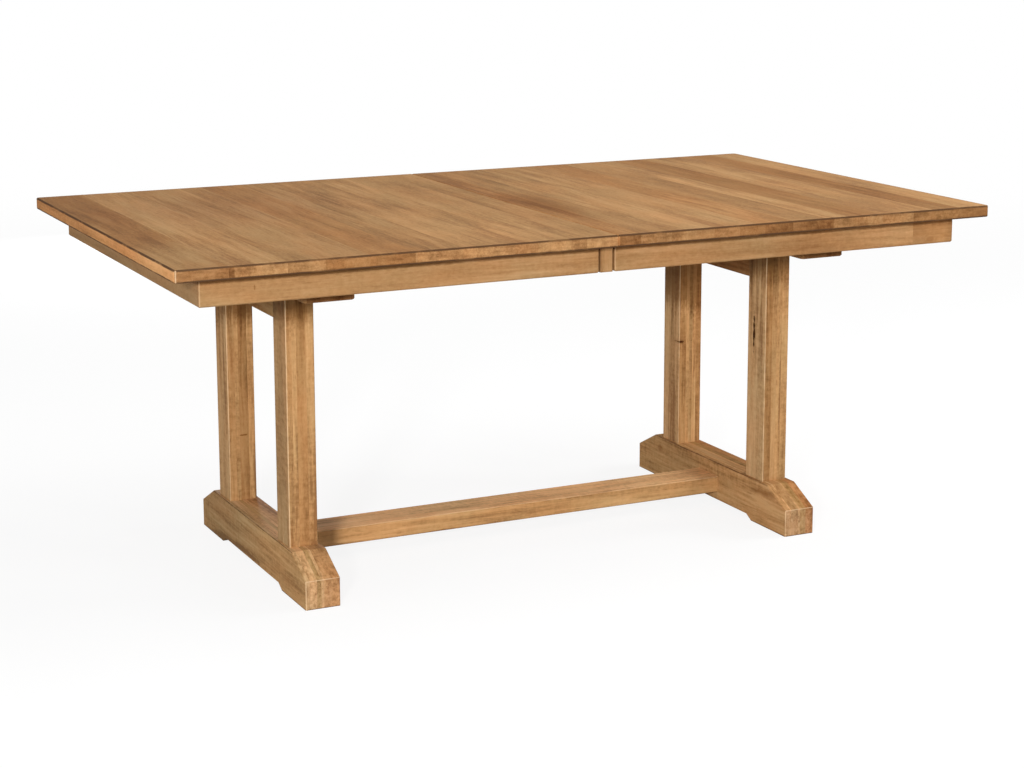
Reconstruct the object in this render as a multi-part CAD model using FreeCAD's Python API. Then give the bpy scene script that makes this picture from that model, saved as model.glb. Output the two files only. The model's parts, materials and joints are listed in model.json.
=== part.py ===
import FreeCAD, Part
import math
import os

# Extension dining table on a stationary trestle base. Two pedestals, joined by a low stretcher,
# carry two fixed slide rails. The top is in two halves that slide apart on geared runners.
# Millimetres, +Z up, the length along X, the front towards -Y, the origin on the floor at the centre.

# Overall sizes
table_length = 1829.0
table_width = 1050.0
table_height = 749.0
half_travel = 457.0

# Top halves, each glued up from boards that run across the table
top_thickness = 25.0
top_corner_radius = 7.0
top_corner_steps = 4
top_upper_radius = 2.8
top_lower_chamfer = 1.5
seam_gap = 0.4
seam_corner_share = 0.8
left_board_shares = (0.110, 0.125, 0.125, 0.056, 0.107, 0.105, 0.175, 0.115, 0.082)
right_board_shares = (0.057, 0.073, 0.112, 0.113, 0.092, 0.092, 0.061, 0.092, 0.145, 0.077, 0.086)

# Alignment pins in the seam
pin_radius = 4.75
pin_sides = 12
pin_seat = 26.0
pin_reach = 14.0
pin_play = 0.3
pin_spare_depth = 1.5
pin_place_shares = (-0.80, -0.27, 0.27, 0.80)

# Aprons under each half, mitred at the corners
apron_height = 58.0
apron_thickness = 19.0
end_setback = 59.0
side_setback = 48.0
apron_corner_chamfer = 2.5
apron_edge_chamfer = 2.5

# Blocks glued inside the aprons
glue_block_leg = 18.0
glue_block_length = 50.0
side_glue_block_shares = (0.22, 0.50, 0.78)
end_glue_block_shares = (-0.72, -0.23, 0.0, 0.23, 0.72)
corner_block_leg = 60.0
corner_block_height = 40.0

# Centre blocks, which stand between the two apron halves and belong to the base
centre_block_width = 27.0
centre_gap = 4.5
centre_relief = 1.0
arm_width = 22.0
arm_height = 36.0
arm_seat = 45.0
arm_clearance = 8.0
arm_tenon_length = 9.0
arm_shoulder = 6.0

# Pedestals: foot, two posts, an upper rail and a top plate
pedestal_inset = 346.0
foot_width = 75.0
foot_length = 669.0
foot_height = 100.0
foot_end_height = 60.5
foot_slope_run = 79.0
foot_pad_length = 142.0
foot_recess_height = 11.5
foot_recess_run = 20.5
foot_edge_radius = 3.0
post_offset = 191.0
post_width = 62.0
post_depth = 73.0
post_edge_radius = 3.0
post_tenon_length = 45.0
post_shoulder = 12.0
mortise_spare_depth = 1.0
upper_rail_height = 85.0
upper_rail_thickness = 20.0
upper_rail_tenon_length = 20.0
upper_rail_shoulder = 10.0
upper_rail_edge_radius = 2.0
plate_width = 107.0
plate_length = 804.0
plate_thickness = 25.0
plate_corner_chamfer = 6.0
plate_edge_chamfer = 2.0

# Stretcher between the feet
stretcher_width = 88.0
stretcher_height = 38.0
stretcher_underside = 30.0
stretcher_edge_radius = 3.0
stretcher_tenon_length = 20.0
stretcher_shoulder = 8.0

# Slides: a fixed rail with a groove on each side, and one runner of each half beside it
slide_offset = 230.0
fixed_rail_end_gap = 138.5
fixed_rail_width = 40.0
fixed_rail_headroom = 14.0
slide_gap = 0.3
runner_lift = 0.5
runner_width = 27.0
runner_end_gap = 22.0
runner_relief = 1.0
runner_tail = 12.0
groove_depth = 8.0
groove_foot_share = 0.23
groove_height_share = 0.27
groove_roof_share = 0.09
cross_rail_width = 62.0

# Rack and pinion, which make the two halves move together
pinion_teeth = 12
pressure_angle = math.radians(20.0)
pinion_addendum_share = 0.9
rack_addendum_share = 0.675
rack_tip_cover = 1.3
root_clearance = 0.6
tooth_play = 0.3
flank_steps = 2
rack_spare_teeth = 2
rack_web = 4.0
rack_margin = 0.5
pocket_clearance = 1.5
axle_radius = 5.0
axle_fit = 0.05
axle_head_radius = 9.0
axle_head_height = 3.5
axle_head_recess = 0.7
axle_thread_radius = 3.5
axle_thread_length = 18.0
axle_sides = 24

# Wood screws, with few sides because there are many
screw_sides = 6
screw_radius = 2.5
screw_head_radius = 5.0
screw_head_height = 3.0
screw_bite = 18.0
screw_fit = 0.05
screw_spare_depth = 1.0
runner_screw_grip = 30.0
runner_screw_shares = (0.08, 0.50, 0.92)
plate_screw_spread = 60.0
cross_screw_spread = 36.0

# Lag screws that hold the top plates down on the posts
lag_radius = 4.0
lag_length = 75.0
lag_head_width = 13.0
lag_head_height = 5.5
lag_head_sides = 6
washer_radius = 11.0
washer_thickness = 1.6
lag_recess_radius = 12.0
lag_recess_depth = 8.0
lag_shank_sides = 8
washer_sides = 16

# Table locks under the seam: a hook lever on the right half and a stud on the left half
lock_offset = 100.0
lock_inset = 20.0
lock_turn = 100.0
lever_thickness = 4.0
lever_width = 14.0
lever_corner_chamfer = 3.0
lever_tail = 28.0
lever_gap = 0.2
hook_width = 6.5
hook_angle = 26.0
stud_radius = 4.0
stud_play = 0.4
stud_head_radius = 7.0
stud_head_height = 2.5
stud_sides = 24

# One overrun serves every cut that has to break through a face
overrun = 5.0

# How near two coordinates lie when they count as the same
coincidence = 1e-6

# Levels above the floor
top_underside = table_height - top_thickness
apron_bottom = top_underside - apron_height
plate_underside = apron_bottom - plate_thickness
stretcher_top = stretcher_underside + stretcher_height

# Screws that go up through a plate: where their heads bear, and their length
underside_seat = plate_underside + screw_head_height
plate_screw_length = plate_thickness - screw_head_height + screw_bite

# Level at which the heads of the lag screws bear on their washers
lag_seat = apron_bottom - lag_recess_depth + washer_thickness

# Places along the length and the width
half_length = table_length / 2
half_width = table_width / 2
apron_end = half_length - end_setback
apron_side = half_width - side_setback
pedestal_offset = half_length - pedestal_inset
foot_inner_face = pedestal_offset - foot_width / 2
centre_opening = centre_block_width / 2 + centre_gap

seam_corner_ease = top_upper_radius * seam_corner_share

# The upper edge of the top is a quarter round in three flats: one at 45 degrees, then one on each side
first_flat_share = 1 - math.tan(math.pi / 8)
second_flat_share = math.tan(math.pi / 8) - math.tan(math.pi / 16)

# Slide section, measured from the middle of a fixed rail
rail_side = fixed_rail_width / 2
fixed_rail_height = apron_height - fixed_rail_headroom
groove_bottom = apron_bottom + fixed_rail_height * groove_foot_share
groove_height = fixed_rail_height * groove_height_share
groove_top = groove_bottom + groove_height
pocket_floor = groove_top + fixed_rail_height * groove_roof_share
fixed_rail_top = apron_bottom + fixed_rail_height
runner_inner = rail_side + slide_gap
runner_outer = runner_inner + runner_width
runner_bottom = apron_bottom + runner_lift
runner_end = apron_end - apron_thickness - runner_end_gap
fixed_rail_length = 2 * (apron_end - apron_thickness - fixed_rail_end_gap)

# Gear sizes follow the width of the fixed rail, so that the racks clear its sides
pitch_radius = (rail_side + rack_tip_cover) / (1 - 2 * rack_addendum_share / pinion_teeth)
gear_module = 2 * pitch_radius / pinion_teeth
tooth_pitch = math.pi * gear_module
pinion_outer = pitch_radius + pinion_addendum_share * gear_module
pinion_root = pitch_radius - rack_addendum_share * gear_module - root_clearance
rack_tip = pitch_radius - rack_addendum_share * gear_module
rack_root = pinion_outer + root_clearance
rack_back = rack_root + rack_web
pinion_bottom = pocket_floor + slide_gap
pinion_top = fixed_rail_top - axle_head_recess - axle_head_height - slide_gap
rack_bottom = pinion_bottom - rack_margin
rack_top = pinion_top + rack_margin
rack_first_tooth = -rack_spare_teeth
rack_last_tooth = math.ceil(half_travel / tooth_pitch) + rack_spare_teeth
rack_start = rack_first_tooth * tooth_pitch - tooth_pitch / 2
rack_end = rack_last_tooth * tooth_pitch + tooth_pitch / 2
runner_reach = rack_end + runner_tail

# Arms that carry the centre blocks pass outside the runners
arm_inner = slide_offset + runner_outer + arm_clearance
arm_outer = apron_side - apron_thickness
cross_rail_reach = arm_inner + arm_seat
lock_reach = 2 * lock_inset
lever_angle = math.degrees(math.asin((stud_radius + 2 * stud_play + lever_width / 2) / lock_reach))

Vector = FreeCAD.Vector
ORIGIN = Vector(0, 0, 0)
ALONG = Vector(1, 0, 0)
ACROSS = Vector(0, 1, 0)
UP = Vector(0, 0, 1)
HALF_TURN = 180.0


def span(centre, size):
    """Limits of a size that is centred on a place."""
    return centre - size / 2, centre + size / 2


def block(x, y, z):
    """Box between two limits along each axis, given in any order."""
    corner = Vector(min(x), min(y), min(z))
    return Part.makeBox(abs(x[1] - x[0]), abs(y[1] - y[0]), abs(z[1] - z[0]), corner)


def prism(points, depth, direction):
    """Solid drawn from a closed outline of straight lines."""
    face = Part.Face(Part.makePolygon(points + [points[0]]))
    return face.extrude(direction * depth)


def circumscribed(radius, sides):
    """Radius to the corners of the regular outline drawn around a circle."""
    return radius / math.cos(math.pi / sides)


def facet_rod(radius, sides, start, length, direction):
    """Straight bar of a regular outline that a circle of the radius just fits in."""
    corner = circumscribed(radius, sides)
    turns = [2 * math.pi * (number + 1 / 2) / sides for number in range(sides)]
    if direction == UP:
        points = [start + Vector(corner * math.cos(a), corner * math.sin(a), 0) for a in turns]
    else:
        points = [start + Vector(0, corner * math.cos(a), corner * math.sin(a)) for a in turns]
    return prism(points, length, direction)


def facet_post(radius, sides, place, z):
    """Upright bar of a regular outline between two levels."""
    return facet_rod(radius, sides, Vector(place[0], place[1], min(z)), abs(z[1] - z[0]), UP)


def turning_post(radius, sides, place, z):
    """Upright bar of a regular outline that just fits in a round bore of the radius."""
    return facet_post(radius * math.cos(math.pi / sides), sides, place, z)


def lies_at(edge, axis, value):
    """Whether an edge lies in the plane where one coordinate has a value."""
    places = [getattr(vertex, axis) for vertex in edge.Vertexes]
    return all(math.isclose(place, value, abs_tol=coincidence) for place in places)


def is_upright(edge):
    """Whether an edge runs straight up and down."""
    box = edge.BoundBox
    return box.ZLength > box.XLength + box.YLength


def eased(shape, radius, edges):
    """Shape with some of its edges rounded."""
    return shape.makeFillet(radius, edges)


def turned(shape):
    """Copy of a shape, turned half way round the middle of the table."""
    copy = shape.copy()
    copy.rotate(ORIGIN, UP, HALF_TURN)
    return copy


def group(shapes):
    """Several separate solids that share one name."""
    return Part.makeCompound(shapes)


def stud_places():
    """Where the lock studs hang under the left half."""
    return [(-lock_inset, side * lock_offset) for side in (-1, 1)]


def runner_screw_places(side):
    """Where the screws of a left runner go up into the top."""
    line = side * slide_offset - (rack_back + runner_outer) / 2
    attached = runner_end - lock_inset
    return [(-runner_end + share * attached, line) for share in runner_screw_shares]


def all_runner_screw_places():
    """Where the screws of both left runners go up into the top."""
    return [place for side in (-1, 1) for place in runner_screw_places(side)]


def rail_screw_places():
    """Where the screws of the top plates go up into the fixed rails."""
    spread = plate_screw_spread / 2
    xs = [side * pedestal_offset + step for side in (-1, 1) for step in (-spread, spread)]
    return [(x, side * slide_offset) for x in xs for side in (-1, 1)]


def cross_screw_places():
    """Where the screws of the cross rail go up into the fixed rails and the arms."""
    spread = cross_screw_spread / 2
    into_rails = [(x, side * slide_offset) for x in (-spread, spread) for side in (-1, 1)]
    into_arms = [(0, side * (arm_inner + arm_seat / 2)) for side in (-1, 1)]
    return into_rails + into_arms


def screw_up(place, seat, length):
    """Wood screw that points up, its head bearing at a level."""
    head = facet_post(screw_head_radius, screw_sides, place, (seat - screw_head_height, seat))
    shank = facet_post(screw_radius, screw_sides, place, (seat, seat + length))
    return head.fuse(shank).removeSplitter()


def pilot_hole(place, start, end):
    """Upright hole for the shank of a wood screw."""
    return facet_post(screw_radius + screw_fit, screw_sides, place, (start, end))


def screw_up_hole(place, face, seat, end):
    """Bore for a wood screw: an entry bore from a face to the seat of the head, and a pilot hole."""
    entry = facet_post(screw_head_radius + screw_fit, screw_sides, place, (face - overrun, seat))
    return entry.fuse(pilot_hole(place, seat, end))


def top_outline():
    """Plan of the left half: its outer corners rounded, its corners at the seam eased."""
    seam = -seam_gap / 2
    centre = Vector(-half_length + top_corner_radius, half_width - top_corner_radius, top_underside)
    corner = []
    for step in range(top_corner_steps + 1):
        angle = math.pi / 2 * (1 + step / top_corner_steps)
        across = Vector(top_corner_radius * math.cos(angle), top_corner_radius * math.sin(angle), 0)
        corner.append(centre + across)
    rear = [
        Vector(seam, half_width - seam_corner_ease, top_underside),
        Vector(seam - seam_corner_ease, half_width, top_underside),
    ]
    rear += corner
    front = [Vector(point.x, -point.y, point.z) for point in reversed(rear)]
    return rear + front


def top_blank():
    """Left half of the top with its eased edges, before it is divided into boards."""
    slab = prism(top_outline(), top_thickness, UP)
    lower = [edge for edge in slab.Edges if lies_at(edge, "Z", top_underside)]
    slab = slab.makeChamfer(top_lower_chamfer, lower)
    first = top_upper_radius * first_flat_share
    second = top_upper_radius * second_flat_share
    slab = slab.makeChamfer(first, [edge for edge in slab.Edges if lies_at(edge, "Z", table_height)])
    slab = slab.makeChamfer(second, [edge for edge in slab.Edges if lies_at(edge, "Z", table_height)])
    return slab.makeChamfer(second, [edge for edge in slab.Edges if lies_at(edge, "Z", table_height - first)])


def underside_holes():
    """Pilot holes that the runner screws and the lock studs need under the left half."""
    level = top_underside + screw_bite + screw_spare_depth
    places = stud_places() + all_runner_screw_places()
    return [pilot_hole(place, top_underside - overrun, level) for place in places]


def pin_heights():
    """Places of the alignment pins: how far across, and the level of their middle."""
    level = (top_underside + table_height) / 2
    return [(share * half_width, level) for share in pin_place_shares]


def pin_bars(radius, start, end):
    """Round bars along X at the alignment pins."""
    starts = [Vector(start, y, z) for y, z in pin_heights()]
    return [facet_rod(radius, pin_sides, place, end - start, ALONG) for place in starts]


def boards(slab, start, end, shares):
    """Slab divided into boards whose widths follow the shares, counted from the start."""
    cuts = []
    covered = 0
    total = sum(shares)
    for share in shares:
        near = start + (end - start) * covered / total
        covered += share
        far = start + (end - start) * covered / total
        strip = block((near, far), (-table_width, table_width), (0, table_height + overrun))
        cuts.append(slab.common(strip).Solids[0])
    return group(cuts)


def left_top_boards():
    """Boards of the left half, drilled for the pins of the right half."""
    slab = top_blank().cut(underside_holes())
    deep = -(pin_reach + pin_spare_depth)
    slab = slab.cut(pin_bars(pin_radius + pin_play, deep, overrun))
    return boards(slab, -half_length, -seam_gap / 2, left_board_shares)


def right_top_boards():
    """Boards of the right half, in whose seam edge the pins are glued."""
    slab = turned(top_blank().cut(underside_holes()))
    slab = slab.cut(pin_bars(pin_radius, 0, pin_seat))
    return boards(slab, seam_gap / 2, half_length, right_board_shares)


def alignment_pins():
    """Dowels glued in the seam edge of the right half."""
    return group(pin_bars(pin_radius, -pin_reach, pin_seat))


def apron_frame():
    """U of the left half's three aprons in one piece, with its eased edges."""
    frame = block((-apron_end, -centre_opening), (-apron_side, apron_side), (apron_bottom, top_underside))
    frame = frame.makeChamfer(apron_corner_chamfer, [edge for edge in frame.Edges if is_upright(edge)])
    lower = [edge for edge in frame.Edges if lies_at(edge, "Z", apron_bottom)]
    frame = frame.makeChamfer(apron_edge_chamfer, lower)
    inner_end = apron_end - apron_thickness
    inner_side = apron_side - apron_thickness
    hollow = block((-inner_end, overrun), (-inner_side, inner_side), (apron_bottom - overrun, table_height))
    return frame.cut(hollow)


def mitre_wedge():
    """Space of the end apron: everything beyond the two mitre planes at the left corners."""
    reach = apron_thickness + overrun
    tip = overrun
    outline = [
        Vector(-apron_end - tip, -apron_side - tip, 0),
        Vector(-apron_end + reach, -apron_side + reach, 0),
        Vector(-apron_end + reach, apron_side - reach, 0),
        Vector(-apron_end - tip, apron_side + tip, 0),
    ]
    return prism(outline, table_height, UP)


def end_apron():
    """Left end apron, mitred at both ends."""
    return apron_frame().common(mitre_wedge()).Solids[0]


def side_apron(side):
    """Left half of the front or rear apron, mitred at the corner."""
    rest = apron_frame().cut(mitre_wedge())
    return [solid for solid in rest.Solids if solid.CenterOfMass.y * side > 0][0]


def wedge_block(corner, first, second, length, direction):
    """Three-cornered glue block with its square corner at a point."""
    outline = [corner, corner + first, corner + second]
    return prism(outline, length, direction)


def glue_blocks():
    """Blocks glued in the corner between the left aprons and the underside of the top."""
    inner_end = apron_end - apron_thickness
    inner_side = apron_side - apron_thickness
    down = Vector(0, 0, -glue_block_leg)
    blocks = []
    for share in end_glue_block_shares:
        near = share * inner_side - glue_block_length / 2
        corner = Vector(-inner_end, near, top_underside)
        blocks.append(wedge_block(corner, Vector(glue_block_leg, 0, 0), down, glue_block_length, ACROSS))
    for side in (-1, 1):
        inward = Vector(0, -side * glue_block_leg, 0)
        for share in side_glue_block_shares:
            near = -inner_end * share - glue_block_length / 2
            corner = Vector(near, side * inner_side, top_underside)
            blocks.append(wedge_block(corner, inward, down, glue_block_length, ALONG))
    return group(blocks)


def corner_blocks():
    """Blocks that brace the two mitred corners of the left half."""
    inner_end = apron_end - apron_thickness
    inner_side = apron_side - apron_thickness
    blocks = []
    for side in (-1, 1):
        corner = Vector(-inner_end, side * inner_side, top_underside - corner_block_height)
        inward = Vector(0, -side * corner_block_leg, 0)
        blocks.append(wedge_block(corner, Vector(corner_block_leg, 0, 0), inward, corner_block_height, UP))
    return group(blocks)


def runner(side):
    """Left runner beside one fixed rail: its tongue runs in the rail's groove and its recess holds a rack."""
    middle = side * slide_offset
    inner = middle - runner_inner
    bar = block((-runner_end, runner_reach), (middle - runner_outer, inner), (runner_bottom, top_underside))
    tongue_levels = (groove_bottom + slide_gap, groove_top - slide_gap)
    tongue_tip = middle - rail_side + groove_depth - slide_gap
    bar = bar.fuse(block((-runner_end, runner_reach), (inner, tongue_tip), tongue_levels))
    recess = block((rack_start, rack_end), (middle - rack_back, inner + overrun), (rack_bottom, rack_top))
    relief_level = top_underside - runner_relief
    outer_limits = (middle - runner_outer - overrun, inner + overrun)
    relief = block((-seam_gap / 2, runner_reach + overrun), outer_limits, (relief_level, table_height))
    seat = top_underside - runner_screw_grip
    end = top_underside + overrun
    holes = [screw_up_hole(place, runner_bottom, seat, end) for place in runner_screw_places(side)]
    return bar.cut([recess, relief] + holes).removeSplitter()


def rack(side):
    """Toothed strip in a left runner, with straight flanks at the pressure angle."""
    middle = side * slide_offset
    lean = math.tan(pressure_angle)
    half_tooth = (tooth_pitch / 2 - tooth_play) / 2
    tip_half = half_tooth - (pitch_radius - rack_tip) * lean
    root_half = half_tooth + (rack_root - pitch_radius) * lean
    ends = (rack_start, rack_end)
    outline = [Vector(x, middle - rack_back, rack_bottom) for x in reversed(ends)]
    outline.append(Vector(rack_start, middle - rack_root, rack_bottom))
    for number in range(rack_first_tooth, rack_last_tooth + 1):
        centre = number * tooth_pitch
        outline.append(Vector(centre - root_half, middle - rack_root, rack_bottom))
        outline.append(Vector(centre - tip_half, middle - rack_tip, rack_bottom))
        outline.append(Vector(centre + tip_half, middle - rack_tip, rack_bottom))
        outline.append(Vector(centre + root_half, middle - rack_root, rack_bottom))
    outline.append(Vector(rack_end, middle - rack_root, rack_bottom))
    return prism(outline, rack_top - rack_bottom, UP)


def involute(radius, base):
    """Angle by which an involute flank has turned where it reaches a radius."""
    roll = math.sqrt(max((radius / base) ** 2 - 1, 0))
    return roll - math.atan(roll)


def pinion(side):
    """Pinion with involute teeth, a gap of it facing each rack, bored to turn on its shoulder screw."""
    base = pitch_radius * math.cos(pressure_angle)
    half_at_pitch = (tooth_pitch / 2 - tooth_play) / 2 / pitch_radius
    start = max(base, pinion_root)
    stations = [start + (pinion_outer - start) * step / flank_steps for step in range(flank_steps + 1)]
    flank = [(r, half_at_pitch + involute(pitch_radius, base) - involute(r, base)) for r in stations]
    flank = [(pinion_root, flank[0][1])] + flank
    step_angle = 2 * math.pi / pinion_teeth
    outline = []
    for number in range(pinion_teeth):
        middle = (number + 1 / 2) * step_angle
        outline += [(r, middle - angle) for r, angle in flank]
        outline += [(r, middle + angle) for r, angle in reversed(flank)]
    centre_y = side * slide_offset
    points = [Vector(r * math.cos(a), centre_y + r * math.sin(a), pinion_bottom) for r, a in outline]
    gear = prism(points, pinion_top - pinion_bottom, UP)
    levels = (pinion_bottom - overrun, pinion_top + overrun)
    bore = facet_post(axle_radius + axle_fit, axle_sides, (0, centre_y), levels)
    return gear.cut(bore)


def pinion_axle(side):
    """Shoulder screw on which a pinion turns, driven into the floor of the rail's pocket."""
    place = (0, side * slide_offset)
    head_bottom = pinion_top + slide_gap
    thread_levels = (pocket_floor - axle_thread_length, pocket_floor)
    thread = facet_post(axle_thread_radius, axle_sides, place, thread_levels)
    shoulder = turning_post(axle_radius, axle_sides, place, (pocket_floor, head_bottom))
    head = facet_post(axle_head_radius, axle_sides, place, (head_bottom, head_bottom + axle_head_height))
    return thread.fuse([shoulder, head]).removeSplitter()


def fixed_rail(side):
    """Slide rail of the base, with a groove along each side and a pocket for the pinion."""
    middle = side * slide_offset
    ends = span(0, fixed_rail_length)
    rail = block(ends, span(middle, fixed_rail_width), (apron_bottom, fixed_rail_top))
    beyond = (ends[0] - overrun, ends[1] + overrun)
    cuts = []
    for face in (-1, 1):
        edge = middle + face * rail_side
        depth = (edge - face * groove_depth, edge + face * overrun)
        cuts.append(block(beyond, depth, (groove_bottom, groove_top)))
    pocket_length = 2 * (pinion_outer + pocket_clearance)
    cuts.append(block(span(0, pocket_length), span(middle, table_width), (pocket_floor, table_height)))
    thread_levels = (pocket_floor - axle_thread_length, pocket_floor + overrun)
    cuts.append(facet_post(axle_thread_radius, axle_sides, (0, middle), thread_levels))
    places = [place for place in rail_screw_places() + cross_screw_places() if place[1] == middle]
    end = underside_seat + plate_screw_length + screw_spare_depth
    cuts += [pilot_hole(place, plate_underside, end) for place in places]
    return rail.cut(cuts)


def cross_rail():
    """Rail at the middle of the base that ties the two fixed rails and carries the arms."""
    levels = (plate_underside, apron_bottom)
    rail = block(span(0, cross_rail_width), span(0, 2 * cross_rail_reach), levels)
    rail = rail.makeChamfer(plate_edge_chamfer, [edge for edge in rail.Edges if is_upright(edge)])
    end = apron_bottom + overrun
    holes = [screw_up_hole(place, plate_underside, underside_seat, end) for place in cross_screw_places()]
    return rail.cut(holes)


def arm(side):
    """Arm from the cross rail out to a centre block, with a tenon in the block."""
    ends = (side * arm_inner, side * arm_outer)
    body = block(span(0, arm_width), ends, (apron_bottom, apron_bottom + arm_height))
    tenon_end = side * (arm_outer + arm_tenon_length)
    tenon_levels = (apron_bottom + arm_shoulder, apron_bottom + arm_height - arm_shoulder)
    tenon_width = span(0, arm_width - 2 * arm_shoulder)
    body = body.fuse(block(tenon_width, (side * arm_inner, tenon_end), tenon_levels))
    end = underside_seat + plate_screw_length + screw_spare_depth
    place = (0, side * (arm_inner + arm_seat / 2))
    return body.cut(pilot_hole(place, plate_underside, end)).removeSplitter()


def centre_block(side):
    """Block that fills the middle of the front or rear apron."""
    upper = top_underside - centre_relief
    body = block(span(0, centre_block_width), (side * arm_outer, side * apron_side), (apron_bottom, upper))
    face = [edge for edge in body.Edges if lies_at(edge, "Y", side * apron_side)]
    body = body.makeChamfer(apron_edge_chamfer, [edge for edge in face if not lies_at(edge, "Z", upper)])
    levels = (apron_bottom + arm_shoulder, apron_bottom + arm_height - arm_shoulder)
    depth = (side * (arm_outer - overrun), side * (arm_outer + arm_tenon_length))
    return body.cut(block(span(0, arm_width - 2 * arm_shoulder), depth, levels))


def foot(side):
    """Foot of one pedestal, mortised for the posts and the stretcher."""
    half = foot_length / 2
    pad = half - foot_pad_length
    arch = pad - foot_recess_run
    crest = half - foot_slope_run
    outline = [
        (-half, 0), (-pad, 0), (-arch, foot_recess_height), (arch, foot_recess_height), (pad, 0), (half, 0),
        (half, foot_end_height), (crest, foot_height), (-crest, foot_height), (-half, foot_end_height),
    ]
    centre = side * pedestal_offset
    outer, inner = centre + side * foot_width / 2, centre - side * foot_width / 2
    start = min(outer, inner)
    body = prism([Vector(start, y, z) for y, z in outline], foot_width, ALONG)
    flanks = [edge for edge in body.Edges if lies_at(edge, "X", outer) or lies_at(edge, "X", inner)]
    body = eased(body, foot_edge_radius, [edge for edge in flanks if edge.BoundBox.ZMax > foot_recess_height])
    mortise_floor = foot_height - post_tenon_length - mortise_spare_depth
    cuts = []
    for place in (-post_offset, post_offset):
        width = span(centre, post_width - 2 * post_shoulder)
        depth = span(place, post_depth - 2 * post_shoulder)
        cuts.append(block(width, depth, (mortise_floor, foot_height + overrun)))
    reach = stretcher_tenon_length + mortise_spare_depth
    levels = (stretcher_underside + stretcher_shoulder, stretcher_top - stretcher_shoulder)
    width = span(0, stretcher_width - 2 * stretcher_shoulder)
    cuts.append(block((inner - side * overrun, inner + side * reach), width, levels))
    return body.cut(cuts)


def post(side, depth_side):
    """Post with a tenon in the foot, a mortise for the upper rail and a pilot hole for its lag screw."""
    x, y = side * pedestal_offset, depth_side * post_offset
    body = block(span(x, post_width), span(y, post_depth), (foot_height, plate_underside))
    body = eased(body, post_edge_radius, [edge for edge in body.Edges if is_upright(edge)])
    tenon_width = span(x, post_width - 2 * post_shoulder)
    tenon_depth = span(y, post_depth - 2 * post_shoulder)
    tenon_levels = (foot_height - post_tenon_length, foot_height + post_shoulder)
    body = body.fuse(block(tenon_width, tenon_depth, tenon_levels)).removeSplitter()
    inner = depth_side * (post_offset - post_depth / 2)
    reach = depth_side * (upper_rail_tenon_length + mortise_spare_depth)
    rail_bottom = plate_underside - upper_rail_height
    levels = (rail_bottom + upper_rail_shoulder, plate_underside - upper_rail_shoulder)
    mortise_depth = (inner - depth_side * overrun, inner + reach)
    mortise = block(span(x, upper_rail_thickness - upper_rail_shoulder), mortise_depth, levels)
    lag_end = lag_seat - lag_length - screw_spare_depth
    pilot = facet_post(lag_radius + screw_fit, lag_shank_sides, (x, y), (lag_end, plate_underside + overrun))
    return body.cut([mortise, pilot])


def upper_rail(side):
    """Rail between the posts of one pedestal, tenoned at both ends and level with the top of the posts."""
    x = side * pedestal_offset
    length = 2 * post_offset - post_depth
    rail_bottom = plate_underside - upper_rail_height
    body = block(span(x, upper_rail_thickness), span(0, length), (rail_bottom, plate_underside))
    lower = [edge for edge in body.Edges if lies_at(edge, "Z", rail_bottom)]
    lower = [edge for edge in lower if edge.BoundBox.YLength > upper_rail_thickness]
    body = eased(body, upper_rail_edge_radius, lower)
    levels = (rail_bottom + upper_rail_shoulder, plate_underside - upper_rail_shoulder)
    tenon_span = span(0, length + 2 * upper_rail_tenon_length)
    tenons = block(span(x, upper_rail_thickness - upper_rail_shoulder), tenon_span, levels)
    return body.fuse(tenons).removeSplitter()


def lag_places():
    """Middle of each post."""
    return [(x * pedestal_offset, y * post_offset) for x in (-1, 1) for y in (-1, 1)]


def top_plate(side):
    """Plate along the top of one pedestal, bored for its lag screws and the screws of the fixed rails."""
    x = side * pedestal_offset
    body = block(span(x, plate_width), span(0, plate_length), (plate_underside, apron_bottom))
    body = body.makeChamfer(plate_corner_chamfer, [edge for edge in body.Edges if is_upright(edge)])
    lower = [edge for edge in body.Edges if lies_at(edge, "Z", plate_underside)]
    body = body.makeChamfer(plate_edge_chamfer, lower)
    cuts = []
    recess_levels = (apron_bottom - lag_recess_depth, apron_bottom + overrun)
    for place in lag_places():
        if place[0] == x:
            cuts.append(facet_post(lag_recess_radius, washer_sides, place, recess_levels))
            shank_levels = (plate_underside - overrun, apron_bottom)
            cuts.append(facet_post(lag_radius + screw_fit, lag_shank_sides, place, shank_levels))
    for place in rail_screw_places():
        if place[0] * side > 0:
            cuts.append(screw_up_hole(place, plate_underside, underside_seat, apron_bottom + overrun))
    return body.cut(cuts)


def lag_screws():
    """Four hexagon-headed lag screws, down through the top plates into the posts."""
    screws = []
    for place in lag_places():
        head = facet_post(lag_head_width / 2, lag_head_sides, place, (lag_seat, lag_seat + lag_head_height))
        shank = facet_post(lag_radius, lag_shank_sides, place, (lag_seat - lag_length, lag_seat))
        screws.append(head.fuse(shank).removeSplitter())
    return group(screws)


def lag_washers():
    """Flat washers under the heads of the lag screws."""
    washers = []
    for place in lag_places():
        disc = facet_post(washer_radius, washer_sides, place, (lag_seat - washer_thickness, lag_seat))
        levels = (lag_seat - washer_thickness - overrun, lag_seat + overrun)
        washers.append(disc.cut(facet_post(lag_radius + screw_fit, lag_shank_sides, place, levels)))
    return group(washers)


def stretcher():
    """Low stretcher between the feet, with a tenon at each end."""
    length = 2 * foot_inner_face
    body = block(span(0, length), span(0, stretcher_width), (stretcher_underside, stretcher_top))
    edges = [edge for edge in body.Edges if edge.BoundBox.XLength > stretcher_width]
    body = eased(body, stretcher_edge_radius, edges)
    levels = (stretcher_underside + stretcher_shoulder, stretcher_top - stretcher_shoulder)
    width = span(0, stretcher_width - 2 * stretcher_shoulder)
    return body.fuse(block(span(0, length + 2 * stretcher_tenon_length), width, levels)).removeSplitter()


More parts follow.
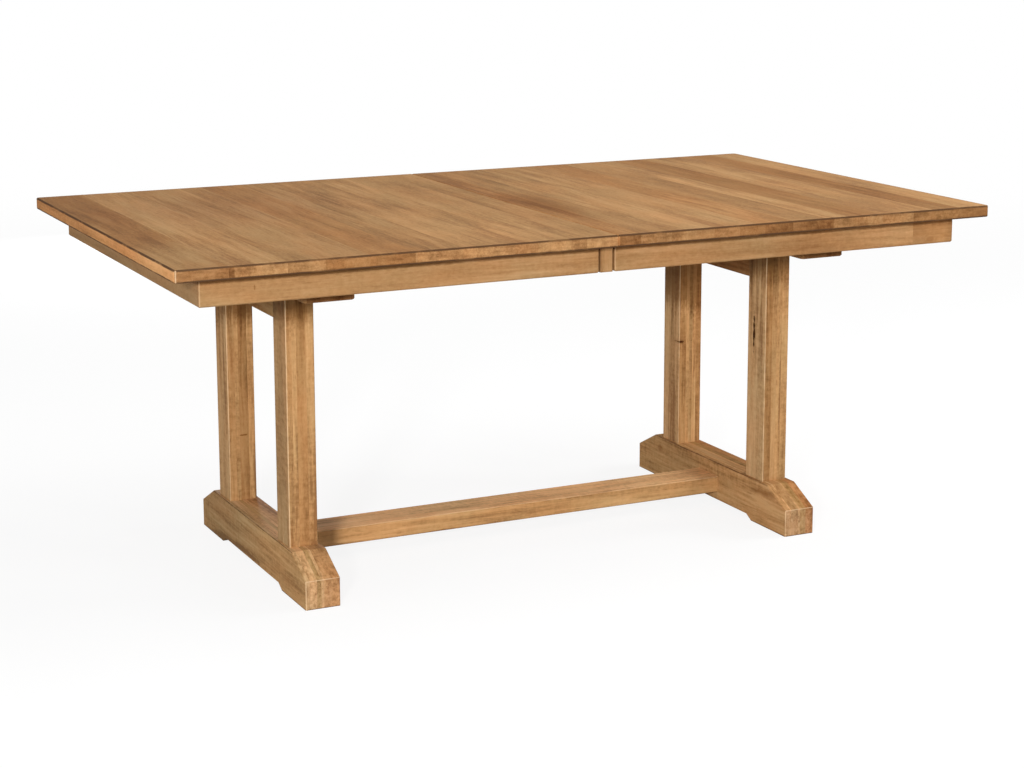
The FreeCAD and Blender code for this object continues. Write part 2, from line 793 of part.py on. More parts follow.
def lock_stud(place):
    """Shoulder screw under the top: its shoulder is a pivot for a lever, or the stud that a hook catches."""
    head_top = top_underside - lever_thickness - 2 * lever_gap
    head = facet_post(stud_head_radius, stud_sides, place, (head_top - stud_head_height, head_top))
    shoulder = turning_post(stud_radius, stud_sides, place, (head_top, top_underside))
    thread = facet_post(screw_radius, screw_sides, place, (top_underside, top_underside + screw_bite))
    return head.fuse([shoulder, thread]).removeSplitter()


def sector(inner, outer, start, end):
    """Flat piece of a ring between two angles, about the pivot at the origin."""
    size = lever_thickness
    ring = Part.makeCylinder(outer, size, ORIGIN, UP, end - start)
    ring = ring.cut(Part.makeCylinder(inner, size + 2 * overrun, Vector(0, 0, -overrun), UP))
    ring.rotate(ORIGIN, UP, start)
    return ring


def lock_lever(side):
    """Hook lever of a table lock, open: it turns back to catch the stud of the left half."""
    inner = lock_reach + stud_radius + stud_play
    outer = inner + hook_width
    levels = (0, lever_thickness)
    bar = block((-outer, lever_tail), span(0, lever_width), levels)
    bar = bar.makeChamfer(lever_corner_chamfer, [edge for edge in bar.Edges if is_upright(edge)])
    bar.rotate(ORIGIN, UP, lever_angle)
    hook = sector(inner, outer, HALF_TURN - hook_angle, HALF_TURN + lever_angle)
    bore = facet_post(stud_radius + axle_fit, stud_sides, (0, 0), (-overrun, lever_thickness + overrun))
    lever = bar.fuse(hook).cut(bore).removeSplitter()
    lever.rotate(ORIGIN, UP, lock_turn)
    lever.translate(Vector(lock_inset, side * lock_offset, top_underside - lever_gap - lever_thickness))
    return lever


def screws(places, seat, length):
    """Wood screws at several places."""
    return group([screw_up(place, seat, length) for place in places])


def runner_screws():
    """Screws that hold the two left runners up to the top."""
    places = all_runner_screw_places()
    return screws(places, top_underside - runner_screw_grip, runner_screw_grip + screw_bite)


def base_pieces():
    """Pieces of the stationary base."""
    pieces = {}
    for side, hand in ((-1, "left"), (1, "right")):
        pieces[hand + "_foot"] = foot(side)
        pieces[hand + "_front_post"] = post(side, -1)
        pieces[hand + "_rear_post"] = post(side, 1)
        pieces[hand + "_upper_rail"] = upper_rail(side)
        pieces[hand + "_top_plate"] = top_plate(side)
    for side, place in ((-1, "front"), (1, "rear")):
        pieces[place + "_fixed_rail"] = fixed_rail(side)
        pieces[place + "_pinion_axle"] = pinion_axle(side)
        pieces[place + "_arm"] = arm(side)
        pieces[place + "_centre_block"] = centre_block(side)
    pieces["stretcher"] = stretcher()
    pieces["cross_rail"] = cross_rail()
    pieces["lag_screws"] = lag_screws()
    pieces["lag_washers"] = lag_washers()
    pieces["fixed_rail_screws"] = screws(rail_screw_places(), underside_seat, plate_screw_length)
    pieces["cross_rail_screws"] = screws(cross_screw_places(), underside_seat, plate_screw_length)
    return pieces


def half_pieces():
    """Pieces of the two sliding halves: but for its boards, the right one is the left one turned round."""
    studs = group([lock_stud(place) for place in stud_places()])
    shared = {
        "end_apron": end_apron(),
        "glue_blocks": glue_blocks(),
        "corner_blocks": corner_blocks(),
        "runner_screws": runner_screws(),
        "lock_studs": studs,
    }
    sided = {}
    for side, place, opposite in ((-1, "front", "rear"), (1, "rear", "front")):
        sided[place, opposite, "apron"] = side_apron(side)
        sided[place, opposite, "runner"] = runner(side)
        sided[place, opposite, "rack"] = rack(side)
    pieces = {"left_top_boards": left_top_boards(), "right_top_boards": right_top_boards()}
    for name, shape in shared.items():
        pieces["left_" + name] = shape
        pieces["right_" + name] = turned(shape)
    for (place, opposite, name), shape in sided.items():
        pieces["left_" + place + "_" + name] = shape
        pieces["right_" + opposite + "_" + name] = turned(shape)
    pieces["alignment_pins"] = alignment_pins()
    return pieces


def turning_pieces():
    """Pinions and lock levers, each of which turns by itself."""
    pieces = {}
    for side, place in ((-1, "front"), (1, "rear")):
        pieces[place + "_pinion"] = pinion(side)
        pieces[place + "_lock_lever"] = lock_lever(side)
    return pieces


def main():
    """Build every piece and write one file for each."""
    os.makedirs("parts", exist_ok=True)
    pieces = {**base_pieces(), **half_pieces(), **turning_pieces()}
    for name, shape in pieces.items():
        shape.exportStep("parts/" + name + ".step")
        print(name, len(shape.Solids), shape.isValid(), round(shape.Volume))


main()
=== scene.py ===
import json
import logging
import math
from dataclasses import dataclass, field, replace
from enum import Enum
from typing import Callable, Mapping, Optional, Sequence, Union

import bmesh
import bpy
from mathutils import Matrix, Vector


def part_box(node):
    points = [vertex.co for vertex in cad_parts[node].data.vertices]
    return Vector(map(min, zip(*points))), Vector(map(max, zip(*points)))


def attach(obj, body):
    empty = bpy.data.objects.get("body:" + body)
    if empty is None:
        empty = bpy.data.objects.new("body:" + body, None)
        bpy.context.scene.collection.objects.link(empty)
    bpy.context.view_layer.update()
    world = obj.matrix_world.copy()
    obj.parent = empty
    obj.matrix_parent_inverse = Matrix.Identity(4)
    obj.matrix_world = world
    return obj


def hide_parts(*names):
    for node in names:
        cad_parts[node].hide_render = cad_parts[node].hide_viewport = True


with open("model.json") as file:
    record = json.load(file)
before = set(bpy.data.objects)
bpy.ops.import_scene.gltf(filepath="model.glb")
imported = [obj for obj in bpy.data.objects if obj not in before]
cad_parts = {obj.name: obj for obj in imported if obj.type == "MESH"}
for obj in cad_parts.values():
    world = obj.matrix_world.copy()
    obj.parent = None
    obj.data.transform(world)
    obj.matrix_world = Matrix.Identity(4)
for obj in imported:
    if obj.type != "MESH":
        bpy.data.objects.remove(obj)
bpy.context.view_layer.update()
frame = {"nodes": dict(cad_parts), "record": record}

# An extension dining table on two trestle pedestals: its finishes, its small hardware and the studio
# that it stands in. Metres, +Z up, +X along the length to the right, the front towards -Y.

log = logging.getLogger("dining_table")

Colour = tuple[float, float, float]
Point = tuple[float, float, float]
Number = Union[int, float, "Signal"]
Triple = tuple["Signal", "Signal", "Signal"]
MM = 0.001
WHITE: Colour = (1.0, 1.0, 1.0)
HANDS = ("left", "right")
PLACES = ("front", "rear")
# Size of one part of a normal over which a face counts as lying across that axis.
ACROSS_AXIS = (0.60, 0.85)
# Dark line along the arrises: part glazing, part painted edge shade on rounded arrises turned from the light.
GLAZE_AND_EDGE_SHADE: Colour = (0.100, 0.050, 0.024)
# Pale arris colour: part wear, part a painted highlight.
RUBBED_AND_HIGHLIT: Colour = (0.84, 0.60, 0.37)
PORE: Colour = (0.34, 0.25, 0.20)
# Tints of painted shade under the top edge of a piece, painted shade on undersides and painted light on upper
# faces.
PAINTED_SHADE_UNDER_TOP_TINT: Colour = (0.42, 0.36, 0.29)
PAINTED_UNDERSIDE_SHADE_TINT: Colour = (0.40, 0.34, 0.30)
PAINTED_UPPER_LIGHT_TINT: Colour = (1.5, 1.62, 1.9)
# Neighbouring boards take this step through the figure, so that no two look alike.
BOARD_STEP = 0.381966
BOARD_SPAN = 9.0
# Size of the upright part of a normal over which a face of a small piece counts as level.
LEVEL_FACE = 0.9
# Points of a mesh that lie closer together than this become one.
MERGE = 0.01 * MM


class Grain(Enum):
    """Direction in which the fibres of a piece run, as the number of its axis."""

    ALONG = 0
    ACROSS = 1
    UP = 2


class Tone(Enum):
    """Tint of one board beside its neighbours, as a share of the lightest."""

    PALE = WHITE
    LIGHT = (0.93, 0.92, 0.91)
    MIDDLE = (0.86, 0.84, 0.82)
    WARM = (0.86, 0.79, 0.73)
    DEEP = (0.74, 0.68, 0.62)
    DARK = (0.64, 0.56, 0.50)
    RED = (0.84, 0.70, 0.62)
    OLIVE = (0.80, 0.80, 0.71)


class MarkKind(Enum):
    """Knots, splits and soft patches drawn on a board; some soft patches are painted shadow."""

    KNOT = "knot"
    SPLIT = "split"
    SHADE = "shade"


ALONG, ACROSS, UP = Grain
PALE, LIGHT, MIDDLE, WARM, DEEP, DARK, RED, OLIVE = Tone
KNOT, SPLIT, SHADE = MarkKind


class Signal:
    """A number or colour that leaves a node, with arithmetic that adds Math nodes."""

    def __init__(self, graph: "Graph", socket: bpy.types.NodeSocket) -> None:
        """Wrap one output socket of a graph."""
        self.graph = graph
        self.socket = socket

    def _math(self, operation: str, *values: Number) -> "Signal":
        """Result of a Math node on some values."""
        return self.graph.node("ShaderNodeMath", {"operation": operation}, dict(enumerate(values)))

    def __add__(self, other: Number) -> "Signal":
        """Sum."""
        return self._math("ADD", self, other)

    def __radd__(self, other: Number) -> "Signal":
        """Sum with a number on the left."""
        return self._math("ADD", other, self)

    def __sub__(self, other: Number) -> "Signal":
        """Difference."""
        return self._math("SUBTRACT", self, other)

    def __rsub__(self, other: Number) -> "Signal":
        """Difference from a number on the left."""
        return self._math("SUBTRACT", other, self)

    def __mul__(self, other: Number) -> "Signal":
        """Product."""
        return self._math("MULTIPLY", self, other)

    def __rmul__(self, other: Number) -> "Signal":
        """Product with a number on the left."""
        return self._math("MULTIPLY", other, self)

    def __truediv__(self, other: Number) -> "Signal":
        """Quotient."""
        return self._math("DIVIDE", self, other)

    def __rtruediv__(self, other: Number) -> "Signal":
        """Quotient of a number on the left."""
        return self._math("DIVIDE", other, self)

    def __abs__(self) -> "Signal":
        """Size without its sign."""
        return self._math("ABSOLUTE", self)

    def least(self, other: Number) -> "Signal":
        """The smaller of two values."""
        return self._math("MINIMUM", self, other)

    def most(self, other: Number) -> "Signal":
        """The larger of two values."""
        return self._math("MAXIMUM", self, other)

    def wave(self) -> "Signal":
        """Sine."""
        return self._math("SINE", self)

    def rise(self, start: float, end: float) -> "Signal":
        """Smooth step from zero at the start to one at the end.

        Args:
            start: value at which the step begins.
            end: value at which it is complete, which may lie below the start.

        Returns:
            The step, between zero and one.
        """
        if end < start:
            return 1 - self.rise(end, start)
        settings = {"interpolation_type": "SMOOTHSTEP"}
        inputs = {"Value": self, "From Min": start, "From Max": end, "To Min": 0.0, "To Max": 1.0}
        return self.graph.node("ShaderNodeMapRange", settings, inputs)


class Graph:
    """Node tree of one material or world."""

    def __init__(self, tree: bpy.types.NodeTree) -> None:
        """Start from an empty tree."""
        self.tree = tree
        tree.nodes.clear()

    def node(
        self,
        kind: str,
        settings: Optional[Mapping[str, object]] = None,
        inputs: Optional[Mapping[Union[int, str], object]] = None,
        output: Union[int, str] = 0,
    ) -> Signal:
        """Add one node.

        Args:
            kind: Blender's type name of the node.
            settings: properties set before its sockets; "stops" fills a colour ramp.
            inputs: numbers, colours or signals for its input sockets, by name or place.
            output: which of its outputs is handed back.

        Returns:
            The chosen output.
        """
        made = self.tree.nodes.new(kind)
        for name, value in (settings or {}).items():
            if name == "stops":
                self._fill(made.color_ramp, value)
            elif name == "steps":
                made.color_ramp.interpolation = value
            else:
                setattr(made, name, value)
        for name, value in (inputs or {}).items():
            if isinstance(value, Signal):
                self.tree.links.new(value.socket, made.inputs[name])
            else:
                made.inputs[name].default_value = value
        return Signal(self, made.outputs[output])

    @staticmethod
    def _fill(ramp: bpy.types.ColorRamp, stops: Sequence[tuple[float, Colour]]) -> None:
        """Give a colour ramp its stops.

        Args:
            ramp: the ramp of a new node.
            stops: place and colour of each stop, in rising order.
        """
        while len(ramp.elements) > 1:
            ramp.elements.remove(ramp.elements[-1])
        for number, (place, colour) in enumerate(stops):
            element = ramp.elements[0] if number == 0 else ramp.elements.new(place)
            element.position = place
            element.color = (*colour, 1.0)

    def ramp(self, value: Number, stops: Sequence[tuple[float, Colour]], steps: str = "LINEAR") -> Signal:
        """Colour that a ramp gives for a value."""
        return self.node("ShaderNodeValToRGB", {"steps": steps, "stops": stops}, {"Fac": value})

    def vector(self, x: Number, y: Number, z: Number) -> Signal:
        """Vector of three values."""
        return self.node("ShaderNodeCombineXYZ", None, {"X": x, "Y": y, "Z": z})

    def parts(self, vector: Signal) -> Triple:
        """The three components of a vector."""
        first = self.node("ShaderNodeSeparateXYZ", None, {"Vector": vector})
        return tuple(Signal(self, output) for output in first.socket.node.outputs)

    def place(self, output: str = "Object") -> Signal:
        """Where a point lies on its piece, or its normal there."""
        return self.node("ShaderNodeTexCoord", None, None, output)

    def vector_math(self, operation: str, first: object, second: object, output: str = "Vector") -> Signal:
        """Result of a Vector Math node."""
        return self.node("ShaderNodeVectorMath", {"operation": operation}, {0: first, 1: second}, output)

    def length(self, vector: Signal) -> Signal:
        """Length of a vector."""
        return self.vector_math("LENGTH", vector, (0.0, 0.0, 0.0), "Value")

    def mix(self, factor: Number, first: object, second: object, blend: str = "MIX") -> Signal:
        """Blend of two colours.

        Args:
            factor: share of the second colour.
            first: colour or signal at factor zero.
            second: colour or signal at factor one.
            blend: how the second is laid on the first.

        Returns:
            The blended colour.
        """
        settings = {"data_type": "RGBA", "blend_type": blend}
        colours = [(*c, 1.0) if isinstance(c, tuple) else c for c in (first, second)]
        return self.node("ShaderNodeMix", settings, {0: factor, 6: colours[0], 7: colours[1]}, 2)

    def tint(self, colour: Signal, by: object, share: Number = 1.0) -> Signal:
        """Colour multiplied by another one, in part or in full."""
        return self.mix(share, colour, by, "MULTIPLY")

    def show(self, shader: Signal, kind: str = "Material") -> None:
        """Join a shader to the output node of a material or a world."""
        output = self.tree.nodes.new("ShaderNodeOutput" + kind)
        self.tree.links.new(shader.socket, output.inputs["Surface"])

    def noise(self, vector: Signal, scale: float, detail: float = 2.0, rough: float = 0.5) -> Signal:
        """Value noise between zero and one."""
        inputs = {"Vector": vector, "Scale": scale, "Detail": detail, "Roughness": rough}
        return self.node("ShaderNodeTexNoise", {"noise_dimensions": "3D"}, inputs)


@dataclass(frozen=True)
class Layer:
    """One layer of a wood's figure: how noise is stretched on the board, and how fine it is."""

    along: float
    scale: float
    detail: float = 2.0
    rough: float = 0.60
    across: float = 1.0
    through: float = 1.0

    def draw(self, graph: Graph, u: Signal, v: Signal, w: Signal) -> Signal:
        """Value of the layer at a point.

        Args:
            graph: tree of the material.
            u: distance along the fibres.
            v: distance across the board.
            w: distance through the board.

        Returns:
            The noise there, between zero and one.
        """
        shares = ((u, self.along), (v, self.across), (w, self.through))
        spot = [value if share == 1.0 else value * share for value, share in shares]
        return graph.noise(graph.vector(*spot), self.scale, self.detail, self.rough)


CLOUD = Layer(0.26, 9.0, 3.0)
STREAK = Layer(0.065, 42.0)
LINE = Layer(0.040, 150.0)
FIBRE = Layer(0.035, 700.0)
CURL = Layer(1.0, 120.0, across=0.30, through=0.30)
FLECK = Layer(0.10, 330.0, 1.0, 0.5)
MOTTLE = Layer(0.45, 210.0, 3.0, 0.65, through=0.8)


class Finish:
    """Common start and end of every surface material."""

    def begin(self, name: str) -> tuple[bpy.types.Material, Graph]:
        """Make a material with an empty tree.

        Args:
            name: name of the material.

        Returns:
            The material and its tree.
        """
        material = bpy.data.materials.new(name)
        material.use_nodes = True
        return material, Graph(material.node_tree)

    def close(
        self, graph: Graph, sockets: Mapping[str, object], height: Signal, bump: tuple[float, float]
    ) -> None:
        """Join a surface shader to the output.

        Args:
            graph: tree of the material.
            sockets: inputs of the surface shader.
            height: relief of the surface, between zero and one.
            bump: strength and depth in metres of that relief.
        """
        inputs = {"Strength": bump[0], "Distance": bump[1], "Height": height}
        normal = graph.node("ShaderNodeBump", None, inputs)
        graph.show(graph.node("ShaderNodeBsdfPrincipled", None, {**sockets, "Normal": normal}))


@dataclass(frozen=True)
class Mark:
    """One feature of a board, or a patch of painted shadow: where it lies, how large it is, how strong and of
    what tint.

    The sizes are half extents along X, Y and Z in metres.
    """

    kind: MarkKind
    place: Point
    size: Point
    depth: float = 0.6
    tint: Colour = (0.45, 0.30, 0.20)


@dataclass(frozen=True)
class Lumber:
    """How the boards of one node are cut, laid and worn, and where light and shade are painted on them.

    Seams are shares of the node's width, and each board has its tone. The end faces may have seams,
    tones and a tint of their own. The hood is painted shade under the top edge, the sole painted shade
    on the underside, the tread painted light on the upper faces, the brow the level of a crown rubbed
    pale as wear and a painted highlight, and the flank painted light and shade on the faces towards
    the left and right. The worn side and crown are rubbed pale as wear and a painted highlight, and the
    glaze is a dark line along the arrises, part glazing and part painted edge shade. A joint of +1 or
    -1 keeps the glaze off the high or the low side, where two halves meet.
    """

    grain: Grain
    seams: tuple[float, ...] = ()
    tones: tuple[Tone, ...] = (LIGHT,)
    end_seams: tuple[float, ...] = ()
    end_tones: tuple[Tone, ...] = ()
    end_stretch: tuple[float, float] = (1.0, 0.10)
    end_depth: float = 0.16
    end_tint: Colour = (1.0, 0.97, 0.94)
    seed: float = 0.0
    edge: float = 2.4 * MM
    wear_and_highlight_side: float = 0.0
    wear_and_highlight_crown: float = 0.0
    brow: Optional[float] = None
    glaze_and_edge_shade: float = 0.5
    painted_upper_light: float = 0.0
    painted_underside_shade: float = 0.0
    painted_shade_under_top: float = 0.0
    painted_shade_under_top_reach: float = 140 * MM
    painted_shade_under_top_crisp: float = 0.0
    painted_side_light: Colour = WHITE
    joint: int = 0
    marks: tuple[Mark, ...] = ()


@dataclass(frozen=True)
class WoodFinish(Finish):
    """Stained and lacquered hardwood with a solid figure that runs through every face."""

    name: str
    light: Colour
    body: Colour
    dark: Colour
    cloud: float = 0.9
    streak: float = 1.0
    line: float = 0.55
    fibre: float = 0.30
    curl: float = 0.16
    fleck: float = 0.15
    mottle: float = 0.30
    hue: float = 0.7
    sway: float = 22 * MM
    roughness: float = 0.58
    specular: float = 0.012
    bump: float = 0.12

    def lay(self, node: str, lumber: Lumber) -> None:
        """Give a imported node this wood."""
        dress(node, self.paint(node, lumber))

    def paint(self, node: str, lumber: Lumber) -> bpy.types.Material:
        """Make the material of one node.

        Args:
            node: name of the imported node, whose box places its edges.
            lumber: how its boards are cut.

        Returns:
            The finished material.
        """
        material, graph = self.begin(f"{self.name}_{node}")
        low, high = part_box(node)
        place = graph.parts(graph.place())
        normal = graph.parts(graph.place("Normal"))
        end = abs(normal[lumber.grain.value]).rise(*ACROSS_AXIS)
        share = (place[0] - low.x) / (high.x - low.x)
        tint, shift = self._boards(graph, share, lumber.seams, lumber.tones)
        u, v, w = self._directions(place, lumber.grain, (low + high) / 2)
        figure, fine, height = self._figure(graph, u, v, w, shift + lumber.seed)
        colour = graph.ramp(figure, [(0.14, self.dark), (0.50, self.body), (0.86, self.light)])
        ends = tint
        if lumber.end_tones:
            ends, _ = self._boards(graph, share, lumber.end_seams, lumber.end_tones)
        ends = self._end_grain(graph, ends, (u, v, w), lumber)
        colour = graph.tint(colour, graph.mix(end, tint, ends))
        blush = graph.noise(graph.vector(u * 0.30 + shift, v, w + lumber.seed), 15.0, 3.0, 0.6)
        hues = [(0.34, (1.06, 0.975, 0.93)), (0.50, WHITE), (0.66, (0.94, 1.02, 1.05))]
        colour = graph.tint(colour, graph.ramp(blush, hues), self.hue)
        # Painted light and shade: faces towards the left and right are tinted lighter or darker.
        if lumber.painted_side_light != WHITE:
            colour = graph.tint(colour, lumber.painted_side_light, abs(normal[0]).rise(*ACROSS_AXIS))
        # Painted shade below the top edge of the piece, where the top, apron or plate shades it.
        if lumber.painted_shade_under_top:
            reach = lumber.painted_shade_under_top_reach
            depth = high.z - place[2] + (figure - 0.5) * reach * 0.3
            painted_shade_under_top_mask = depth.rise(reach, reach * lumber.painted_shade_under_top_crisp)
            colour = graph.tint(colour, PAINTED_SHADE_UNDER_TOP_TINT, painted_shade_under_top_mask * lumber.painted_shade_under_top)
        colour = self._edges(graph, colour, place, normal, (low, high), lumber, fine)
        for mark in lumber.marks:
            colour = self._mark(graph, colour, mark)
        sockets = {
            "Base Color": colour,
            "Roughness": self.roughness + 0.12 * (fine - 0.5) + 0.08 * (figure - 0.5) + 0.10 * end,
            "Specular IOR Level": self.specular,
            "IOR": 1.45,
        }
        self.close(graph, sockets, height, (self.bump, 0.4 * MM))
        return material

    @staticmethod
    def _boards(
        graph: Graph, share: Signal, seams: Sequence[float], tones: Sequence[Tone]
    ) -> tuple[Signal, Signal]:
        """Tint and coordinate shift of the board that a point lies in.

        Args:
            graph: tree of the material.
            share: place of the point across the node, from zero to one.
            seams: shares at which a new board begins.
            tones: tone of each board.

        Returns:
            The tint and the shift.
        """
        starts = (0.0, *seams)
        levels = [(number * BOARD_STEP) % 1.0 for number in range(len(starts))]
        tint = graph.ramp(share, [(a, tone.value) for a, tone in zip(starts, tones)], "CONSTANT")
        shifts = [(start, (level, level, level)) for start, level in zip(starts, levels)]
        return tint, graph.ramp(share, shifts, "CONSTANT") * BOARD_SPAN

    @staticmethod
    def _directions(place: Triple, grain: Grain, middle: Vector) -> Triple:
        """Coordinates along the fibres, across the board and through it, from the middle of the piece."""
        order = {ALONG: (0, 1, 2), ACROSS: (1, 0, 2), UP: (2, 0, 1)}[grain]
        return tuple(place[axis] - middle[axis] for axis in order)

    def _figure(self, graph: Graph, u: Signal, v: Signal, w: Signal, shift: Signal) -> Triple:
        """Lightness, fine fibre and relief of the wood at a point.

        Args:
            graph: tree of the material.
            u: distance along the fibres.
            v: distance across the board.
            w: distance through the board.
            shift: offset that makes each board its own.

        Returns:
            The lightness around one half, the fine fibre and the relief.
        """
        a = u + shift * 1.7
        c = w + shift * 0.9
        wander = graph.noise(graph.vector(a, v * 1.5 + shift, c), 4.0, 1.0) - 0.5
        b = v + shift * 2.3 + wander * self.sway
        layers = (CLOUD, STREAK, LINE, FIBRE, CURL, MOTTLE, FLECK)
        cloud, streak, line, fibre, curl, mottle, fleck = (one.draw(graph, a, b, c) for one in layers)
        fleck = fleck.rise(0.66, 0.80)
        lively = graph.noise(graph.vector(a * 0.6, b + 3.1, c), 4.5, 1.0).rise(0.34, 0.66) * 0.9 + 0.45
        figure = 0.5 + self.cloud * (cloud - 0.5) + self.streak * (streak - 0.5) * lively
        figure = figure + self.line * (line - 0.5) * lively + self.fibre * (fibre - 0.5) - self.fleck * fleck
        figure = figure + self.curl * (curl - 0.5) * (cloud.rise(0.62, 0.38) + 0.4)
        figure = figure + self.mottle * (mottle - 0.5)
        return figure, fibre, fibre * 0.6 + line * 0.4 - fleck * 0.5

    @staticmethod
    def _end_grain(graph: Graph, tint: Signal, place: Triple, lumber: Lumber) -> Signal:
        """Tint of the same wood where its fibres are cut across, mottled with open pores.

        Args:
            graph: tree of the material.
            tint: tint of the boards.
            place: distances along the fibres, across the board and through it.
            lumber: how the boards are cut.

        Returns:
            The tint of the end grain.
        """
        u, v, w = place
        across, through = lumber.end_stretch
        spot = graph.vector(v * across, u, w * through)
        mottle = graph.noise(spot, 130.0, 3.0, 0.65)
        pores = graph.noise(spot, 620.0, 2.0, 0.6).rise(0.54, 0.72)
        red, green, blue = lumber.end_tint
        low, high = 1 - lumber.end_depth, 1 + lumber.end_depth * 0.5
        stops = [
            (0.32, (red * low, green * low * 0.96, blue * low * 0.94)),
            (0.52, lumber.end_tint),
            (0.70, (red * high, green * high, blue * high)),
        ]
        return graph.mix(pores * lumber.end_depth * 0.8, graph.tint(tint, graph.ramp(mottle, stops)), PORE)

    @staticmethod
    def _edges(
        graph: Graph,
        colour: Signal,
        place: Triple,
        normal: Triple,
        box: tuple[Vector, Vector],
        lumber: Lumber,
        fine: Signal,
    ) -> Signal:
        """Arrises of the front and rear faces rubbed pale on two sides as wear and a painted highlight, a dark
        line of glazing and painted edge shade along the others, painted light on upper faces and painted
        shade on lower ones.

        Args:
            graph: tree of the material.
            colour: colour of the wood so far.
            place: the three coordinates of a point.
            normal: the three parts of its normal.
            box: lowest and highest corner of the node.
            lumber: how strong each line is.
            fine: fine fibre, which makes the lines ragged.

        Returns:
            The colour with its edges.
        """
        low, high = box
        edge = lumber.edge
        brow = high.z if lumber.brow is None else lumber.brow
        near = [(place[k] - low[k]).least(high[k] - place[k]) for k in range(3)]
        if lumber.joint:
            near[0] = place[0] - low.x if lumber.joint > 0 else high.x - place[0]
        second = near[0].least(near[1]).most(near[0].most(near[1]).least(near[2]))
        patches = graph.noise(graph.vector(*place), 17.0, 3.0, 0.6)
        jitter = (fine - 0.5) * 1.4 * MM
        # The pale arris is wear and a painted highlight, on the left side and crown of the front and rear
        # faces.
        facing = abs(normal[1]).rise(0.50, 0.75)
        side = (place[0] - low.x + jitter).rise(edge * 1.15, edge * 0.5)
        crown = abs(place[2] - brow + jitter).rise(edge * 0.9, edge * 0.4)
        wear_and_highlight = facing * (side * lumber.wear_and_highlight_side).most(crown * lumber.wear_and_highlight_crown)
        # A dark line along every arris, part glazing and part painted edge shade, broken into patches.
        line = (second + jitter).rise(edge * 1.0, edge * 0.4)
        glaze_and_edge_shade = line * (patches.rise(0.64, 0.40) * 0.5 + 0.5) * (1 - wear_and_highlight.rise(0.0, 0.3)) * lumber.glaze_and_edge_shade
        # Upper faces lightened as painted light, lower faces darkened as painted shade.
        if lumber.painted_upper_light:
            colour = graph.tint(colour, PAINTED_UPPER_LIGHT_TINT, normal[2].rise(0.60, 0.90) * lumber.painted_upper_light)
        if lumber.painted_underside_shade:
            colour = graph.tint(colour, PAINTED_UNDERSIDE_SHADE_TINT, normal[2].rise(-0.60, -0.90) * lumber.painted_underside_shade)
        colour = graph.mix(glaze_and_edge_shade, colour, GLAZE_AND_EDGE_SHADE)
        return graph.mix(wear_and_highlight * (patches.rise(0.36, 0.54) * 0.5 + 0.5), colour, RUBBED_AND_HIGHLIT)

    @staticmethod
    def _mark(graph: Graph, colour: Signal, mark: Mark) -> Signal:
        """Draw one feature, or a patch of painted shadow, into a colour.

        Args:
            graph: tree of the material.
            colour: colour of the wood so far.
            mark: the feature.

        Returns:
            The colour with the feature.
        """
        spot = graph.place()
        ripple = graph.noise(spot, 0.35 / max(min(mark.size), 2 * MM), 2.0, 0.5) - 0.5
        away = graph.vector_math("SUBTRACT", spot, mark.place)
        distance = graph.length(graph.vector_math("DIVIDE", away, mark.size))
        if mark.kind is KNOT:
            distance = distance + ripple * 0.5
            halo = (distance * 7.0).wave() * distance.rise(2.6, 0.9) * 0.5
            mask = (distance.rise(1.0, 0.45) + halo.most(0) * 0.5).least(1.0)
        elif mark.kind is SPLIT:
            mask = (distance + ripple * 1.4).rise(1.05, 0.55)
        else:
            mask = (distance + ripple * 0.9).rise(1.25, 0.15)
        return graph.tint(colour, mark.tint, mask * mark.depth)


@dataclass(frozen=True)
class PlainFinish(Finish):
    """Finish of one material without a direction: its clouds of two colours and its fine skin."""

    name: str
    colour: Colour
    shade: Colour
    clouds: tuple[float, float, float]
    shading: tuple[float, float, float]
    skin: tuple[float, float]
    roughness: float
    rough_swing: float
    bump: float
    metallic: float = 0.0

    def paint(self) -> bpy.types.Material:
        """Make the material.

        Returns:
            The finished material.
        """
        material, graph = self.begin(self.name)
        cloud = graph.noise(graph.place(), *self.clouds)
        skin = graph.noise(graph.place(), self.skin[0], 2.0, self.skin[1])
        start, end, share = self.shading
        sockets = {
            "Base Color": graph.mix(cloud.rise(start, end) * share, self.colour, self.shade),
            "Roughness": self.roughness + self.rough_swing * ((cloud if self.metallic else skin) - 0.5),
            "Metallic": self.metallic,
        }
        self.close(graph, sockets, skin, (self.bump, 0.1 * MM))
        return material


def dress(node: str, material: bpy.types.Material) -> None:
    """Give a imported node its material.

    Args:
        node: name of the node.
        material: its finish.
    """
    body = frame["nodes"][node]
    if not body.material_slots:
        body.data.materials.append(material)
    for slot in body.material_slots:
        slot.material = material
    log.info("dressed %s with %s", node, material.name)


TOP = WoodFinish(
    name="top_wood",
    light=(0.54, 0.313, 0.142),
    body=(0.425, 0.231, 0.096),
    dark=(0.27, 0.136, 0.055),
    cloud=1.15,
    streak=0.80,
    line=0.50,
    fibre=0.70,
    fleck=0.26,
    mottle=0.62,
    hue=0.5,
)
APRON = WoodFinish(
    name="apron_wood",
    light=(0.56, 0.332, 0.158),
    body=(0.44, 0.244, 0.104),
    dark=(0.29, 0.146, 0.058),
    cloud=0.6,
    streak=0.75,
    line=0.50,
    mottle=0.48,
)
BASE = WoodFinish(
    name="base_wood",
    light=(0.64, 0.385, 0.178),
    body=(0.51, 0.282, 0.117),
    dark=(0.29, 0.145, 0.056),
    cloud=0.95,
    streak=0.95,
    line=0.85,
    curl=0.42,
    fleck=0.26,
    mottle=0.52,
)
STRETCHER = replace(
    BASE,
    name="stretcher_wood",
    light=(0.70, 0.416, 0.189),
    body=(0.565, 0.314, 0.130),
    cloud=0.45,
    streak=0.75,
    curl=0.20,
    mottle=0.38,
)
